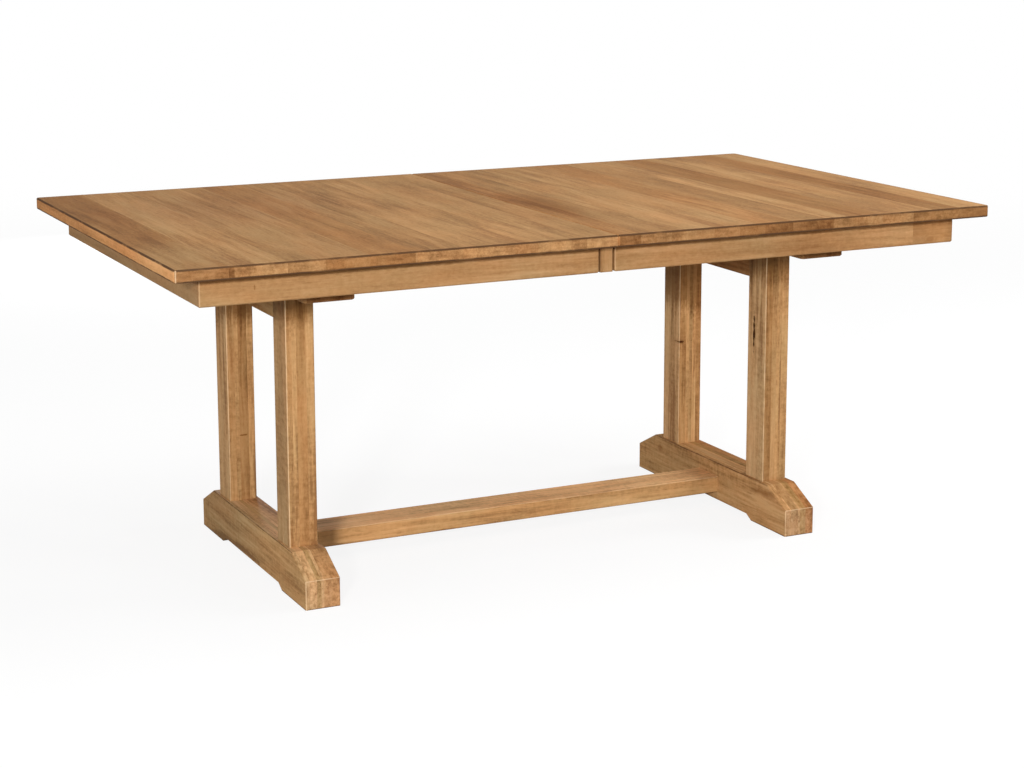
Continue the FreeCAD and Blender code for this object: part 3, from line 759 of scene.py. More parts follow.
INNER = WoodFinish(
    name="inner_wood",
    light=(0.66, 0.48, 0.29),
    body=(0.57, 0.40, 0.23),
    dark=(0.42, 0.27, 0.145),
    cloud=0.5,
    streak=0.7,
    roughness=0.66,
)
STEEL = PlainFinish(
    name="zinc_plated_steel",
    colour=(0.62, 0.62, 0.60),
    shade=(0.36, 0.35, 0.33),
    clouds=(160.0, 3.0, 0.6),
    shading=(0.40, 0.70, 0.6),
    skin=(1400.0, 0.5),
    roughness=0.34,
    rough_swing=0.22,
    bump=0.10,
    metallic=1.0,
)
NYLON = PlainFinish(
    name="moulded_nylon",
    colour=(0.66, 0.64, 0.57),
    shade=(0.52, 0.49, 0.42),
    clouds=(90.0, 2.0, 0.5),
    shading=(0.35, 0.75, 0.5),
    skin=(2200.0, 0.6),
    roughness=0.48,
    rough_swing=0.12,
    bump=0.12,
)
# Top boards: a strong dark rim line of glazing and painted edge shade, end faces lightened as painted light.
TOP_BOARDS = Lumber(
    ACROSS, end_stretch=(0.16, 1.0), end_depth=0.28, edge=4.4 * MM, glaze_and_edge_shade=1.5, painted_side_light=(1.72, 1.58, 1.52)
)
# Painted shade in the top 17 mm of an apron, under the overhang of the top.
SHADED_UNDER_TOP = Lumber(ALONG, painted_shade_under_top=0.75, painted_shade_under_top_reach=17 * MM, painted_shade_under_top_crisp=0.7)
# Side aprons: arrises rubbed pale as wear and a painted highlight, dark edge line of glazing and painted
# shade.
SIDE_APRON = replace(SHADED_UNDER_TOP, wear_and_highlight_side=0.3, glaze_and_edge_shade=0.35)
# Posts: a stronger pale arris as wear and a painted highlight.
POST = Lumber(UP, wear_and_highlight_side=0.7, glaze_and_edge_shade=0.25)
# Feet: pale arrises and crown as wear and a painted highlight, strong dark edge line of glazing and painted
# shade.
FOOT = Lumber(ACROSS, wear_and_highlight_side=0.55, wear_and_highlight_crown=0.6, brow=60.5 * MM, glaze_and_edge_shade=0.85)
ROUGH = Lumber(ALONG, glaze_and_edge_shade=0.0)


@dataclass
class TableTop:
    """The two halves of the top, each glued up from boards across the table."""

    halves: Mapping[str, Lumber] = field(
        default_factory=lambda: {
            "left": replace(
                TOP_BOARDS,
                seams=(0.110, 0.235, 0.360, 0.416, 0.523, 0.628, 0.803, 0.918),
                tones=(DEEP, LIGHT, MIDDLE, MIDDLE, WARM, MIDDLE, LIGHT, LIGHT, MIDDLE),
                end_seams=(0.12304, 0.31664, 0.51898, 0.73554, 0.86788),
                end_tones=(DARK, MIDDLE, DEEP, PALE, PALE, LIGHT),
                end_tint=(1.04, 0.985, 0.95),
                seed=1.3,
                # The left arris of its front and rear faces is rubbed pale as wear and a painted highlight.
                wear_and_highlight_side=0.55,
                joint=1,
                # Broad patches, lighter towards the front and darker towards the back, and pale lines along
                # three seams.
                marks=(
                    Mark(SHADE, (-0.256, -0.371, 0.749), (0.20, 0.17, 0.1), 0.9, (1.15, 1.17, 1.19)),
                    Mark(SHADE, (-0.860, 0.230, 0.749), (0.065, 0.34, 0.1), 0.8, (0.86, 0.80, 0.80)),
                    Mark(SHADE, (-0.865, -0.360, 0.749), (0.075, 0.26, 0.1), 0.9, (1.12, 1.24, 1.36)),
                    Mark(SHADE, (-0.560, 0.190, 0.749), (0.30, 0.34, 0.1), 0.8, (0.87, 0.845, 0.87)),
                    Mark(SHADE, (-0.8135, 0.0, 0.749), (0.0045, 0.90, 0.1), 0.6, (1.30, 1.36, 1.42)),
                    Mark(SHADE, (-0.5320, 0.0, 0.749), (0.0045, 0.40, 0.1), 0.6, (1.28, 1.34, 1.40)),
                    Mark(SHADE, (-0.3420, 0.20, 0.749), (0.0050, 0.40, 0.1), 0.7, (1.30, 1.36, 1.42)),
                ),
            ),
            "right": replace(
                TOP_BOARDS,
                seams=(0.057, 0.130, 0.242, 0.355, 0.447, 0.539, 0.600, 0.692, 0.837, 0.914),
                tones=(WARM, MIDDLE, LIGHT, LIGHT, WARM, MIDDLE, PALE, DEEP, LIGHT, DEEP, PALE),
                end_seams=(0.05228, 0.30603, 0.37493, 0.5554, 0.62868, 0.69977, 0.77852),
                end_tones=(DARK, MIDDLE, DEEP, DARK, MIDDLE, LIGHT, PALE, DEEP),
                end_tint=(0.95, 0.90, 0.865),
                seed=5.1,
                joint=-1,
                # A dark patch beside the seam, darker patches towards the back and a lighter one at the front.
                marks=(
                    Mark(SHADE, (0.047, -0.09, 0.749), (0.060, 0.24, 0.1), 0.85, (0.66, 0.54, 0.43)),
                    Mark(SHADE, (0.590, 0.12, 0.749), (0.060, 0.50, 0.1), 0.8, (0.87, 0.82, 0.78)),
                    Mark(SHADE, (0.798, 0.10, 0.749), (0.055, 0.50, 0.1), 0.8, (0.85, 0.79, 0.74)),
                    Mark(SHADE, (0.250, -0.390, 0.749), (0.24, 0.14, 0.1), 0.8, (1.08, 1.09, 1.11)),
                ),
            ),
        }
    )

    def dress(self) -> None:
        """Give both halves their boards."""
        for hand, lumber in self.halves.items():
            TOP.lay(hand + "_top_boards", lumber)


@dataclass
class Aprons:
    """Aprons and the blocks that are glued inside them."""

    sides: Mapping[str, Lumber] = field(
        default_factory=lambda: {
            "left_front": replace(
                SIDE_APRON,
                seed=7.0,
                marks=(Mark(SPLIT, (-0.7459, -0.477, 0.6962), (0.0016, 0.01, 0.007), 0.5),),
            ),
            "left_rear": replace(SIDE_APRON, tones=(MIDDLE,), seed=8.7),
            "right_front": replace(
                SIDE_APRON,
                seams=(0.872227,),
                tones=(LIGHT, DEEP),
                seed=10.4,
                marks=(
                    Mark(KNOT, (0.796, -0.477, 0.676), (0.014, 0.01, 0.010), 0.35),
                    Mark(SHADE, (0.812, -0.477, 0.692), (0.045, 0.01, 0.050), 0.9, (1.40, 1.42, 1.44)),
                    Mark(SHADE, (0.680, -0.477, 0.690), (0.140, 0.01, 0.070), 0.9, (1.24, 1.23, 1.25)),
                    Mark(SHADE, (0.02, -0.477, 0.705), (0.045, 0.01, 0.022), 0.4, (0.70, 0.58, 0.46)),
                ),
            ),
            "right_rear": replace(SIDE_APRON, tones=(MIDDLE,), seed=12.1),
        }
    )
    # End aprons: painted shade under the top, and side faces tinted cooler as painted light.
    ends: Lumber = replace(SHADED_UNDER_TOP, grain=ACROSS, tones=(MIDDLE,), painted_side_light=(0.93, 0.98, 1.06))

    def dress(self) -> None:
        """Give the aprons and their blocks their wood."""
        for number, hand in enumerate(HANDS):
            APRON.lay(hand + "_end_apron", replace(self.ends, seed=2.0 + number))
            for kind in ("_glue_blocks", "_corner_blocks"):
                INNER.lay(hand + kind, replace(ROUGH, grain=ACROSS, seed=3.0))
        for name, lumber in self.sides.items():
            APRON.lay(name + "_apron", lumber)


@dataclass
class Base:
    """The stationary base: pedestals, stretcher, slide rails and centre blocks."""

    # Each post: painted light and shade on its left and right faces, painted shade under the plate and apron,
    # and arrises rubbed pale as wear and a painted highlight.
    posts: Mapping[str, Lumber] = field(
        default_factory=lambda: {
            "left_front": replace(
                POST,
                seams=(0.20, 0.36, 0.70),
                tones=(LIGHT, PALE, WARM, PALE),
                seed=1.0,
                painted_side_light=(0.91, 0.95, 1.04),
                painted_shade_under_top=0.82,
                painted_shade_under_top_reach=92 * MM,
                painted_shade_under_top_crisp=0.5,
                marks=(
                    # A darker patch at the top of the front face, just under the plate.
                    Mark(SHADE, (-0.563, -0.2275, 0.592), (0.034, 0.02, 0.036), 0.5, (0.66, 0.58, 0.50)),
                ),
            ),
            "left_rear": replace(
                POST,
                seams=(0.28, 0.42, 0.75),
                tones=(MIDDLE, PALE, DEEP, PALE),
                seed=2.3,
                painted_side_light=(1.10, 1.18, 1.32),
                painted_shade_under_top=0.86,
                painted_shade_under_top_reach=165 * MM,
                painted_shade_under_top_crisp=0.70,
                marks=(
                    Mark(SPLIT, (-0.5657, 0.1545, 0.2467), (0.010, 0.01, 0.0022), 0.8),
                    Mark(SHADE, (-0.586, 0.1545, 0.43), (0.010, 0.02, 0.10), 0.45, (0.66, 0.55, 0.45)),
                ),
            ),
            "right_front": replace(
                POST,
                seams=(0.30, 0.50, 0.62, 0.70),
                tones=(DEEP, MIDDLE, PALE, LIGHT, PALE),
                seed=4.1,
                painted_side_light=(1.38, 1.62, 2.00),
                painted_shade_under_top=0.84,
                painted_shade_under_top_reach=106 * MM,
                painted_shade_under_top_crisp=0.5,
                marks=(
                    Mark(SPLIT, (0.5375, -0.181, 0.440), (0.01, 0.0048, 0.056), 1.0, (0.10, 0.07, 0.05)),
                ),
            ),
            "right_rear": replace(
                POST,
                seams=(0.32, 0.45, 0.60, 0.76),
                tones=(WARM, PALE, MIDDLE, PALE, WARM),
                seed=5.4,
                painted_side_light=(1.22, 1.38, 1.65),
                painted_shade_under_top=0.82,
                painted_shade_under_top_reach=240 * MM,
                painted_shade_under_top_crisp=0.75,
                marks=(
                    Mark(KNOT, (0.544, 0.1545, 0.3517), (0.009, 0.02, 0.0045), 0.9, (0.24, 0.15, 0.10)),
                    Mark(SPLIT, (0.539, 0.1545, 0.3525), (0.013, 0.02, 0.0014), 0.9, (0.20, 0.12, 0.08)),
                    Mark(SHADE, (0.573, 0.1545, 0.19), (0.010, 0.02, 0.035), 0.4, (0.62, 0.56, 0.42)),
                ),
            ),
        }
    )
    feet: Mapping[str, Lumber] = field(
        default_factory=lambda: {
            "left": replace(
                FOOT,
                seams=(0.12, 0.33, 0.45, 0.53),
                tones=(LIGHT, PALE, OLIVE, PALE, WARM),
                seed=4.0,
                end_tint=(1.12, 1.19, 1.38),
                # Upper faces lightened as painted light.
                painted_upper_light=0.45,
                marks=(Mark(SHADE, (-0.606, 0.190, 0.05), (0.05, 0.30, 0.14), 0.9, (0.76, 0.79, 0.82)),),
            ),
            "right": replace(
                FOOT,
                seams=(0.15, 0.21, 0.45, 0.52, 0.72),
                tones=(LIGHT, PALE, MIDDLE, PALE, OLIVE, RED),
                seed=5.0,
                end_tint=(0.98, 1.04, 1.22),
                marks=(
                    Mark(KNOT, (0.531, 0.2297, 0.0718), (0.02, 0.018, 0.011), 0.45),
                    Mark(SHADE, (0.531, -0.240, 0.078), (0.02, 0.065, 0.009), 0.9, (0.52, 0.42, 0.34)),
                ),
            ),
        }
    )
    # Upper face lightened as painted light, crown rubbed pale as wear and a painted highlight, and a patch of
    # painted shadow where the left post shades the stretcher.
    stretcher: Lumber = Lumber(
        ALONG,
        tones=(PALE,),
        seed=8.2,
        wear_and_highlight_crown=0.5,
        painted_upper_light=1.0,
        marks=(Mark(SHADE, (-0.440, 0.0, 0.049), (0.060, 0.10, 0.06), 0.9, (0.68, 0.70, 0.74)),),
    )
    # Painted shade under the apron: a dark tone, dark end grain and a darkened underside.
    plate: Lumber = Lumber(ACROSS, tones=(DARK,), end_tint=(0.54, 0.48, 0.44), painted_underside_shade=0.9)
    block: Lumber = Lumber(UP, edge=1.6 * MM)
    rail_tones: tuple[Tone, Tone] = (DEEP, DARK)

    def dress(self) -> None:
        """Give every piece of the base its wood."""
        for name, lumber in self.posts.items():
            BASE.lay(name + "_post", lumber)
        for number, hand in enumerate(HANDS):
            BASE.lay(hand + "_foot", self.feet[hand])
            BASE.lay(hand + "_upper_rail", Lumber(ACROSS, tones=(self.rail_tones[number],), seed=5.0 + number))
            BASE.lay(hand + "_top_plate", replace(self.plate, seed=6.0 + number))
        STRETCHER.lay("stretcher", self.stretcher)
        for number, place in enumerate(PLACES):
            APRON.lay(place + "_centre_block", replace(self.block, seed=2.6 + number))
            INNER.lay(place + "_arm", replace(ROUGH, grain=ACROSS, seed=1.6 + number))
            INNER.lay(place + "_fixed_rail", replace(ROUGH, seed=2.2 + number))
            for hand in HANDS:
                INNER.lay(f"{hand}_{place}_runner", replace(ROUGH, seed=4.2 + number))
        INNER.lay("cross_rail", replace(ROUGH, grain=ACROSS, seed=9.2))


class Bench:
    """Modelling steps that the small pieces share."""

    @staticmethod
    def clear() -> None:
        """Leave no object selected, in object mode."""
        if bpy.context.object and bpy.context.object.mode != "OBJECT":
            bpy.ops.object.mode_set(mode="OBJECT")
        bpy.ops.object.select_all(action="DESELECT")

    @staticmethod
    def focus(body: bpy.types.Object) -> None:
        """Select one piece alone, in object mode.

        Args:
            body: the piece.
        """
        Bench.clear()
        body.select_set(True)
        bpy.context.view_layer.objects.active = body

    @staticmethod
    def edit(body: bpy.types.Object, kind: str, action: str = "DESELECT") -> None:
        """Enter edit mode on one piece.

        Args:
            body: the piece.
            kind: what is selected there, VERT or FACE.
            action: whether all or nothing is selected at first.
        """
        Bench.focus(body)
        bpy.ops.object.mode_set(mode="EDIT")
        bpy.ops.mesh.select_mode(type=kind)
        bpy.ops.mesh.select_all(action=action)

    @staticmethod
    def settle() -> None:
        """Keep the place and turn of the selected piece in its mesh."""
        bpy.ops.object.transform_apply(location=True, rotation=True, scale=True)

    @staticmethod
    def turn(body: bpy.types.Object, angle: float, axis: str) -> None:
        """Turn a piece about an axis through the origin.

        Args:
            body: the piece.
            angle: how far, in radians.
            axis: name of the axis.
        """
        Bench.focus(body)
        bpy.ops.transform.rotate(value=angle, orient_axis=axis, center_override=(0.0, 0.0, 0.0))
        Bench.settle()

    @staticmethod
    def smooth(body: bpy.types.Object, degrees: float) -> None:
        """Shade a piece smooth, except over edges sharper than an angle."""
        Bench.focus(body)
        bpy.ops.object.shade_smooth_by_angle(angle=math.radians(degrees))

    @staticmethod
    def bar(name: str, radius: float, levels: tuple[float, float], sides: int = 24) -> bpy.types.Object:
        """Add an upright round bar on the Z axis.

        Args:
            name: name of the piece.
            radius: its radius.
            levels: its lower and upper end.
            sides: number of its sides.

        Returns:
            The bar.
        """
        Bench.clear()
        middle = (0.0, 0.0, (levels[0] + levels[1]) / 2)
        bpy.ops.mesh.primitive_cylinder_add(
            vertices=sides, radius=radius, depth=levels[1] - levels[0], location=middle
        )
        bpy.context.object.name = name
        Bench.settle()
        return bpy.context.object

    @staticmethod
    def pick(body: bpy.types.Object, test: Callable[[Vector, Vector], bool]) -> None:
        """Enter edit mode with only some faces selected.

        Args:
            body: the piece.
            test: whether a face of a given middle and normal is meant.
        """
        Bench.edit(body, "FACE")
        shape = bmesh.from_edit_mesh(body.data)
        for face in shape.faces:
            face.select_set(test(face.calc_center_median(), face.normal))
        bmesh.update_edit_mesh(body.data)

    @staticmethod
    def pick_points(body: bpy.types.Object, test: Callable[[Vector], bool]) -> None:
        """Enter edit mode with only some points selected.

        Args:
            body: the piece.
            test: whether a point at a given place is meant.
        """
        Bench.edit(body, "VERT")
        shape = bmesh.from_edit_mesh(body.data)
        for point in shape.verts:
            point.select_set(test(point.co))
        shape.select_flush_mode()
        bmesh.update_edit_mesh(body.data)

    @staticmethod
    def squeeze(spread: float, level: float) -> None:
        """Scale what is selected across the Z axis."""
        bpy.ops.transform.resize(value=(spread, spread, 1.0), center_override=(0.0, 0.0, level))

    @staticmethod
    def push(rise: float, spread: float, level: float) -> None:
        """Extrude the selected faces along Z, then scale them across it."""
        bpy.ops.mesh.extrude_region_move(TRANSFORM_OT_translate={"value": (0.0, 0.0, rise)})
        Bench.squeeze(spread, level)

    @staticmethod
    def mend(body: bpy.types.Object) -> None:
        """Merge doubles, turn every face outwards and go back to object mode.

        Args:
            body: the piece.
        """
        Bench.edit(body, "VERT", "SELECT")
        bpy.ops.mesh.remove_doubles(threshold=MERGE)
        bpy.ops.mesh.normals_make_consistent(inside=False)
        bpy.ops.object.mode_set(mode="OBJECT")

    @staticmethod
    def soften(body: bpy.types.Object, width: float, segments: int = 2) -> None:
        """Round the sharp edges of a piece, and shade it smooth elsewhere.

        Args:
            body: the piece.
            width: how far back each edge is taken.
            segments: number of steps round it.
        """
        Bench.focus(body)
        bevel = body.modifiers.new("round", "BEVEL")
        bevel.width = width
        bevel.segments = segments
        bevel.limit_method = "ANGLE"
        bevel.angle_limit = math.radians(38.0)
        bpy.ops.object.modifier_apply(modifier=bevel.name)
        Bench.smooth(body, 35.0)

    @staticmethod
    def join(parts: Sequence[bpy.types.Object], name: str) -> bpy.types.Object:
        """Join several objects into one.

        Args:
            parts: the objects.
            name: name of the result.

        Returns:
            The joined object.
        """
        Bench.focus(parts[0])
        for part in parts:
            part.select_set(True)
        bpy.ops.object.join()
        parts[0].name = name
        return parts[0]

    @staticmethod
    def repeat(model: bpy.types.Object, places: Sequence[Point], name: str) -> bpy.types.Object:
        """Copy a model to several places, each copy with its own mesh, and join the copies.

        Args:
            model: the piece at the origin, which is used up.
            places: where the copies go.
            name: name of the result.

        Returns:
            The group of copies.
        """
        copies = []
        for place in places:
            Bench.focus(model)
            bpy.ops.object.duplicate(linked=False)
            copies.append(bpy.context.object)
            bpy.ops.transform.translate(value=place)
            Bench.settle()
        bpy.data.objects.remove(model, do_unlink=True)
        return Bench.join(copies, name)

    @staticmethod
    def stand_in(piece: bpy.types.Object, node: str, material: bpy.types.Material) -> None:
        """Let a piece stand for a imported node, with its body and its finish.

        Args:
            piece: the new piece.
            node: the node that it replaces.
            material: its finish.
        """
        record = frame["record"]
        body = next(name for name, nodes in record["behaviour"]["bodies"].items() if node in nodes)
        piece.data.materials.clear()
        piece.data.materials.append(material)
        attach(piece, body)
        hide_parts(node)
        log.info("made %s for %s on %s", piece.name, node, body)


@dataclass(frozen=True)
class Screw:
    """Sizes of one kind of screw that points up, its head bearing at level zero.

    A screw with flats has a hexagon head, and any other a dome with a lobed drive. The shares are
    of the head's height or radius, of the crest's radius or of the pitch.
    """

    head_radius: float
    head_height: float
    crest: float
    length: float
    pitch: float
    shoulder: float = 0.0
    shoulder_length: float = 0.0
    flats: float = 0.0
    root_share: float = 0.72
    steps: int = 12
    skirt_share: float = 0.55
    dome: tuple[tuple[float, float, float], ...] = ((0.27, 0.93, 0.82), (0.18, 0.80, 1.0))
    rim_share: float = 0.60
    valley_share: float = 0.78
    recess: tuple[float, float, float] = (0.60, 0.92, 0.4)
    lobes: int = 6
    turned_share: float = 0.14
    turned_spread: float = 0.89
    point_share: float = 1.6
    tip_spread: float = 0.12

    def build(self, name: str) -> bpy.types.Object:
        """Model the screw at the origin.

        Args:
            name: name of the screw.

        Returns:
            The screw.
        """
        parts = [self._hexagon_head(name) if self.flats else self._round_head(name)]
        if self.shoulder:
            levels = (-self.head_height * 0.2, self.shoulder_length)
            parts.append(Bench.bar(name + "_shoulder", self.shoulder, levels, 32))
            Bench.soften(parts[-1], 0.25 * MM)
        parts.append(self._thread(name, self.shoulder_length))
        return Bench.join(parts, name)

    def _round_head(self, name: str) -> bpy.types.Object:
        """Model a domed head with a six-lobed drive.

        Args:
            name: name of the screw.

        Returns:
            The head.
        """
        tall, wide = self.head_height, self.head_radius
        rim = wide * self.rim_share
        head = Bench.bar(name + "_head", wide, (-tall * self.skirt_share, 0.0))
        Bench.pick(head, lambda middle, normal: normal.z < -LEVEL_FACE)
        for rise, spread, level in self.dome:
            Bench.push(-tall * rise, spread, -tall * level)
        bpy.ops.mesh.inset(thickness=wide * 0.26)

        def valley(point: Vector) -> bool:
            """Whether a point of the drive's rim lies between two of its lobes."""
            inside = point.z < -tall * 0.99 and math.hypot(point.x, point.y) < rim
            return inside and math.cos(self.lobes * math.atan2(point.y, point.x)) < -0.5

        Bench.pick_points(head, valley)
        Bench.squeeze(self.valley_share, -tall)
        Bench.pick(head, lambda middle, normal: middle.z < -tall * 0.99 and middle.xy.length < rim * 0.2)
        rise, spread, level = self.recess
        Bench.push(tall * rise, spread, -tall * level)
        Bench.smooth(head, 30.0)
        return head

    def _hexagon_head(self, name: str) -> bpy.types.Object:
        """Model a hexagon head with a turned chamfer, cut from a round bar.

        Args:
            name: name of the screw.

        Returns:
            The head.
        """
        tall, turned = self.head_height, self.turned_share
        head = Bench.bar(name + "_head", self.flats / math.sqrt(3.0), (-tall * (1 - turned), 0.0), 48)
        Bench.pick(head, lambda middle, normal: normal.z < -LEVEL_FACE)
        Bench.push(-tall * turned, self.turned_spread, -tall)
        for side in range(6):
            turn = math.radians(60.0 * side)
            out = Vector((math.cos(turn), math.sin(turn), 0.0))
            Bench.edit(head, "FACE", "SELECT")
            bpy.ops.mesh.bisect(
                plane_co=out * (self.flats / 2), plane_no=out, use_fill=True, clear_outer=True
            )
        Bench.mend(head)
        Bench.soften(head, 0.2 * MM, 1)
        return head

    def _thread(self, name: str, start: float) -> bpy.types.Object:
        """Model a threaded shank with a point, turned from one tooth of its outline.

        Args:
            name: name of the screw.
            start: level at which the shank leaves the head or the shoulder.

        Returns:
            The shank.
        """
        Bench.clear()
        bpy.ops.mesh.primitive_plane_add(size=self.pitch, location=(0.0, 0.0, 0.0))
        body = bpy.context.object
        body.name = name + "_thread"
        Bench.edit(body, "VERT", "SELECT")
        bpy.ops.mesh.merge(type="CENTER")
        root = self.crest * self.root_share
        below = min(self.head_height, self.pitch) * 0.5
        bpy.ops.transform.translate(value=(root, 0.0, start - below))
        for outwards, share in ((0.0, 0.50), (self.crest - root, 0.25), (root - self.crest, 0.25)):
            step = (outwards, 0.0, self.pitch * share)
            bpy.ops.mesh.extrude_region_move(TRANSFORM_OT_translate={"value": step})
        bpy.ops.object.mode_set(mode="OBJECT")
        shank = self.length - start + below - self.crest * self.point_share
        screw = body.modifiers.new("thread", "SCREW")
        screw.axis = "Z"
        screw.angle = math.tau
        screw.screw_offset = self.pitch
        screw.iterations = int(shank / self.pitch) - 1
        screw.steps = screw.render_steps = self.steps
        bpy.ops.object.modifier_apply(modifier=screw.name)
        Bench.edit(body, "VERT", "SELECT")
        bpy.ops.mesh.remove_doubles(threshold=MERGE)
        bpy.ops.mesh.fill_holes(sides=0)
        bpy.ops.object.mode_set(mode="OBJECT")
        top = max(vertex.co.z for vertex in body.data.vertices)
        last = top - self.pitch * 1.2
        Bench.pick(body, lambda middle, normal: middle.z > last and middle.xy.length < root * 0.5)
        Bench.push(self.length - top, self.tip_spread, self.length)
        Bench.mend(body)
        Bench.smooth(body, 40.0)
        return body


@dataclass
class Hardware:
    """Fasteners, gears and locks."""

    wood_screw: Screw = Screw(5.0 * MM, 3.0 * MM, 2.5 * MM, 40 * MM, 2.6 * MM)
    lag_screw: Screw = Screw(7.5 * MM, 5.5 * MM, 4.0 * MM, 75 * MM, 3.6 * MM, flats=13 * MM)
    lock_stud: Screw = Screw(
        7.0 * MM, 2.5 * MM, 2.5 * MM, 22.4 * MM, 2.2 * MM, shoulder=4.0 * MM, shoulder_length=4.4 * MM
    )
    axle: Screw = Screw(9.0 * MM, 3.5 * MM, 3.5 * MM, 18 * MM, 3.0 * MM, shoulder=5.0 * MM)
    runner_screw_length: float = 48 * MM
    washer_radius: float = 11 * MM
    washer_bore: float = 4.3 * MM
    pin_radius: float = 4.75 * MM
    pin_chamfer: float = 1.5 * MM
    pin_flutes: int = 12
    pin_lines: tuple[float, ...] = (-0.420, -0.14175, 0.14175, 0.420)
    pedestal: float = 0.5685
    lag_line: float = 0.191
    slide_line: float = 0.230
    plate_spread: float = 0.030
    cross_spread: float = 0.018
    arm_line: float = 0.30775
    runner_stations: tuple[float, ...] = (-0.7509, -0.41725, -0.0836)
    runner_lines: tuple[float, ...] = (-0.26975, 0.19025)
    stud_place: tuple[float, float] = (0.020, 0.100)

    def dress(self) -> None:
        """Model the fasteners and give every piece its finish."""
        steel, nylon = STEEL.paint(), NYLON.paint()
        self._screws(steel)
        self._washers(steel)
        self._axles(steel)
        self._pins(INNER.paint("alignment_pins", replace(ROUGH, seed=3.3)))
        for node in frame["nodes"]:
            if node.endswith("_lever"):
                self._rounded(node, 0.6 * MM, steel)
            elif node.endswith(("_pinion", "_rack")):
                self._rounded(node, 0.3 * MM, nylon)

    def _screws(self, steel: bpy.types.Material) -> None:
        """Put every kind of screw in its places.

        Args:
            steel: finish of the screws.
        """
        wood = self.wood_screw
        corners = [(x, y) for x in (-1, 1) for y in (-1, 1)]
        steps = [side * self.pedestal + step * self.plate_spread for side, step in corners]
        spots = [(x, y * self.slide_line) for x in steps for y in (-1, 1)]
        self._group(wood, spots, "fixed_rail_screws", steel)
        spots = [(x * self.cross_spread, y * self.slide_line) for x, y in corners]
        self._group(wood, spots + [(0.0, y * self.arm_line) for y in (-1, 1)], "cross_rail_screws", steel)
        runner = replace(wood, length=self.runner_screw_length)
        for hand, sign in zip(HANDS, (1, -1)):
            spots = [(sign * x, sign * y) for x in self.runner_stations for y in self.runner_lines]
            self._group(runner, spots, hand + "_runner_screws", steel)
        for hand, sign in zip(HANDS, (-1, 1)):
            spots = [(sign * self.stud_place[0], y * self.stud_place[1]) for y in (-1, 1)]
            self._group(self.lock_stud, spots, hand + "_lock_studs", steel)
        spots = [(x * self.pedestal, y * self.lag_line) for x, y in corners]
        self._group(self.lag_screw, spots, "lag_screws", steel, down=True)

    @staticmethod
    def _group(
        screw: Screw,
        spots: Sequence[tuple[float, float]],
        node: str,
        steel: bpy.types.Material,
        down: bool = False,
        kind: str = "_threaded",
    ) -> None:
        """Stand in for a node of equal screws.

        Args:
            screw: sizes of one of them.
            spots: where they stand, along X and Y.
            node: the node that they replace.
            steel: their finish.
            down: whether they point down from the top of the node.
            kind: end of the new piece's name.
        """
        model = screw.build(node + "_model")
        low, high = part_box(node)
        level = low.z + screw.head_height
        if down:
            Bench.turn(model, math.pi, "X")
            level = high.z - screw.head_height
        places = [(x, y, level) for x, y in spots]
        Bench.stand_in(Bench.repeat(model, places, node + kind), node, steel)

    def _washers(self, steel: bpy.types.Material) -> None:
        """Make flat washers with a bore and broken edges.

        Args:
            steel: their finish.
        """
        low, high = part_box("lag_washers")
        half = (high.z - low.z) / 2
        model = Bench.bar("lag_washer", self.washer_radius, (-half, half), 40)
        Bench.pick(model, lambda middle, normal: abs(normal.z) > LEVEL_FACE)
        bpy.ops.mesh.inset(thickness=self.washer_radius - self.washer_bore)
        bpy.ops.mesh.bridge_edge_loops()
        Bench.mend(model)
        Bench.soften(model, 0.2 * MM, 1)
        level = low.z + half
        places = [(x * self.pedestal, y * self.lag_line, level) for x in (-1, 1) for y in (-1, 1)]
        Bench.stand_in(Bench.repeat(model, places, "lag_washers_turned"), "lag_washers", steel)

    def _axles(self, steel: bpy.types.Material) -> None:
        """Make the shoulder screws on which the pinions turn, heads up.

        Args:
            steel: their finish.
        """
        for place, side in (("front", -1), ("rear", 1)):
            node = place + "_pinion_axle"
            low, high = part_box(node)
            shoulder = high.z - low.z - self.axle.head_height - self.axle.length
            screw = replace(self.axle, length=shoulder + self.axle.length, shoulder_length=shoulder)
            self._group(screw, [(0.0, side * self.slide_line)], node, steel, down=True, kind="_turned")

    def _pins(self, wood: bpy.types.Material) -> None:
        """Make fluted dowel pins with chamfered ends, across the seam.

        Args:
            wood: their finish.
        """
        low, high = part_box("alignment_pins")
        half = (high.x - low.x) / 2
        shank = half - self.pin_chamfer
        model = Bench.bar("alignment_pin", self.pin_radius, (-shank, shank), 2 * self.pin_flutes)
        Bench.pick_points(model, lambda p: math.cos(self.pin_flutes * math.atan2(p.y, p.x)) < 0)
        Bench.squeeze(0.94, 0.0)
        for end in (-1, 1):
            Bench.pick(model, lambda middle, normal: normal.z * end > LEVEL_FACE)
            Bench.push(end * self.pin_chamfer, 0.78, end * half)
        Bench.turn(model, math.pi / 2, "Y")
        middle, level = (low.x + high.x) / 2, (low.z + high.z) / 2
        places = [(middle, line, level) for line in self.pin_lines]
        Bench.stand_in(Bench.repeat(model, places, "alignment_pins_fluted"), "alignment_pins", wood)

    @staticmethod
    def _rounded(node: str, width: float, material: bpy.types.Material) -> None:
        """Stand in for a node with a copy whose sharp edges are rounded.

        Args:
            node: the node that is replaced.
            width: how far back each edge is taken.
            material: finish of the copy.
        """
        piece = bpy.data.objects.new(node + "_rounded", frame["nodes"][node].data.copy())
        bpy.context.scene.collection.objects.link(piece)
        Bench.mend(piece)
        Bench.edit(piece, "VERT", "SELECT")
        bpy.ops.mesh.dissolve_limited(angle_limit=math.radians(1.0))
        Bench.soften(piece, width)
        Bench.stand_in(piece, node, material)


@dataclass(frozen=True)
class Lamp:
    """One square soft lamp."""

    name: str
    place: Point
    power: float
    size: float
    colour: Colour = WHITE


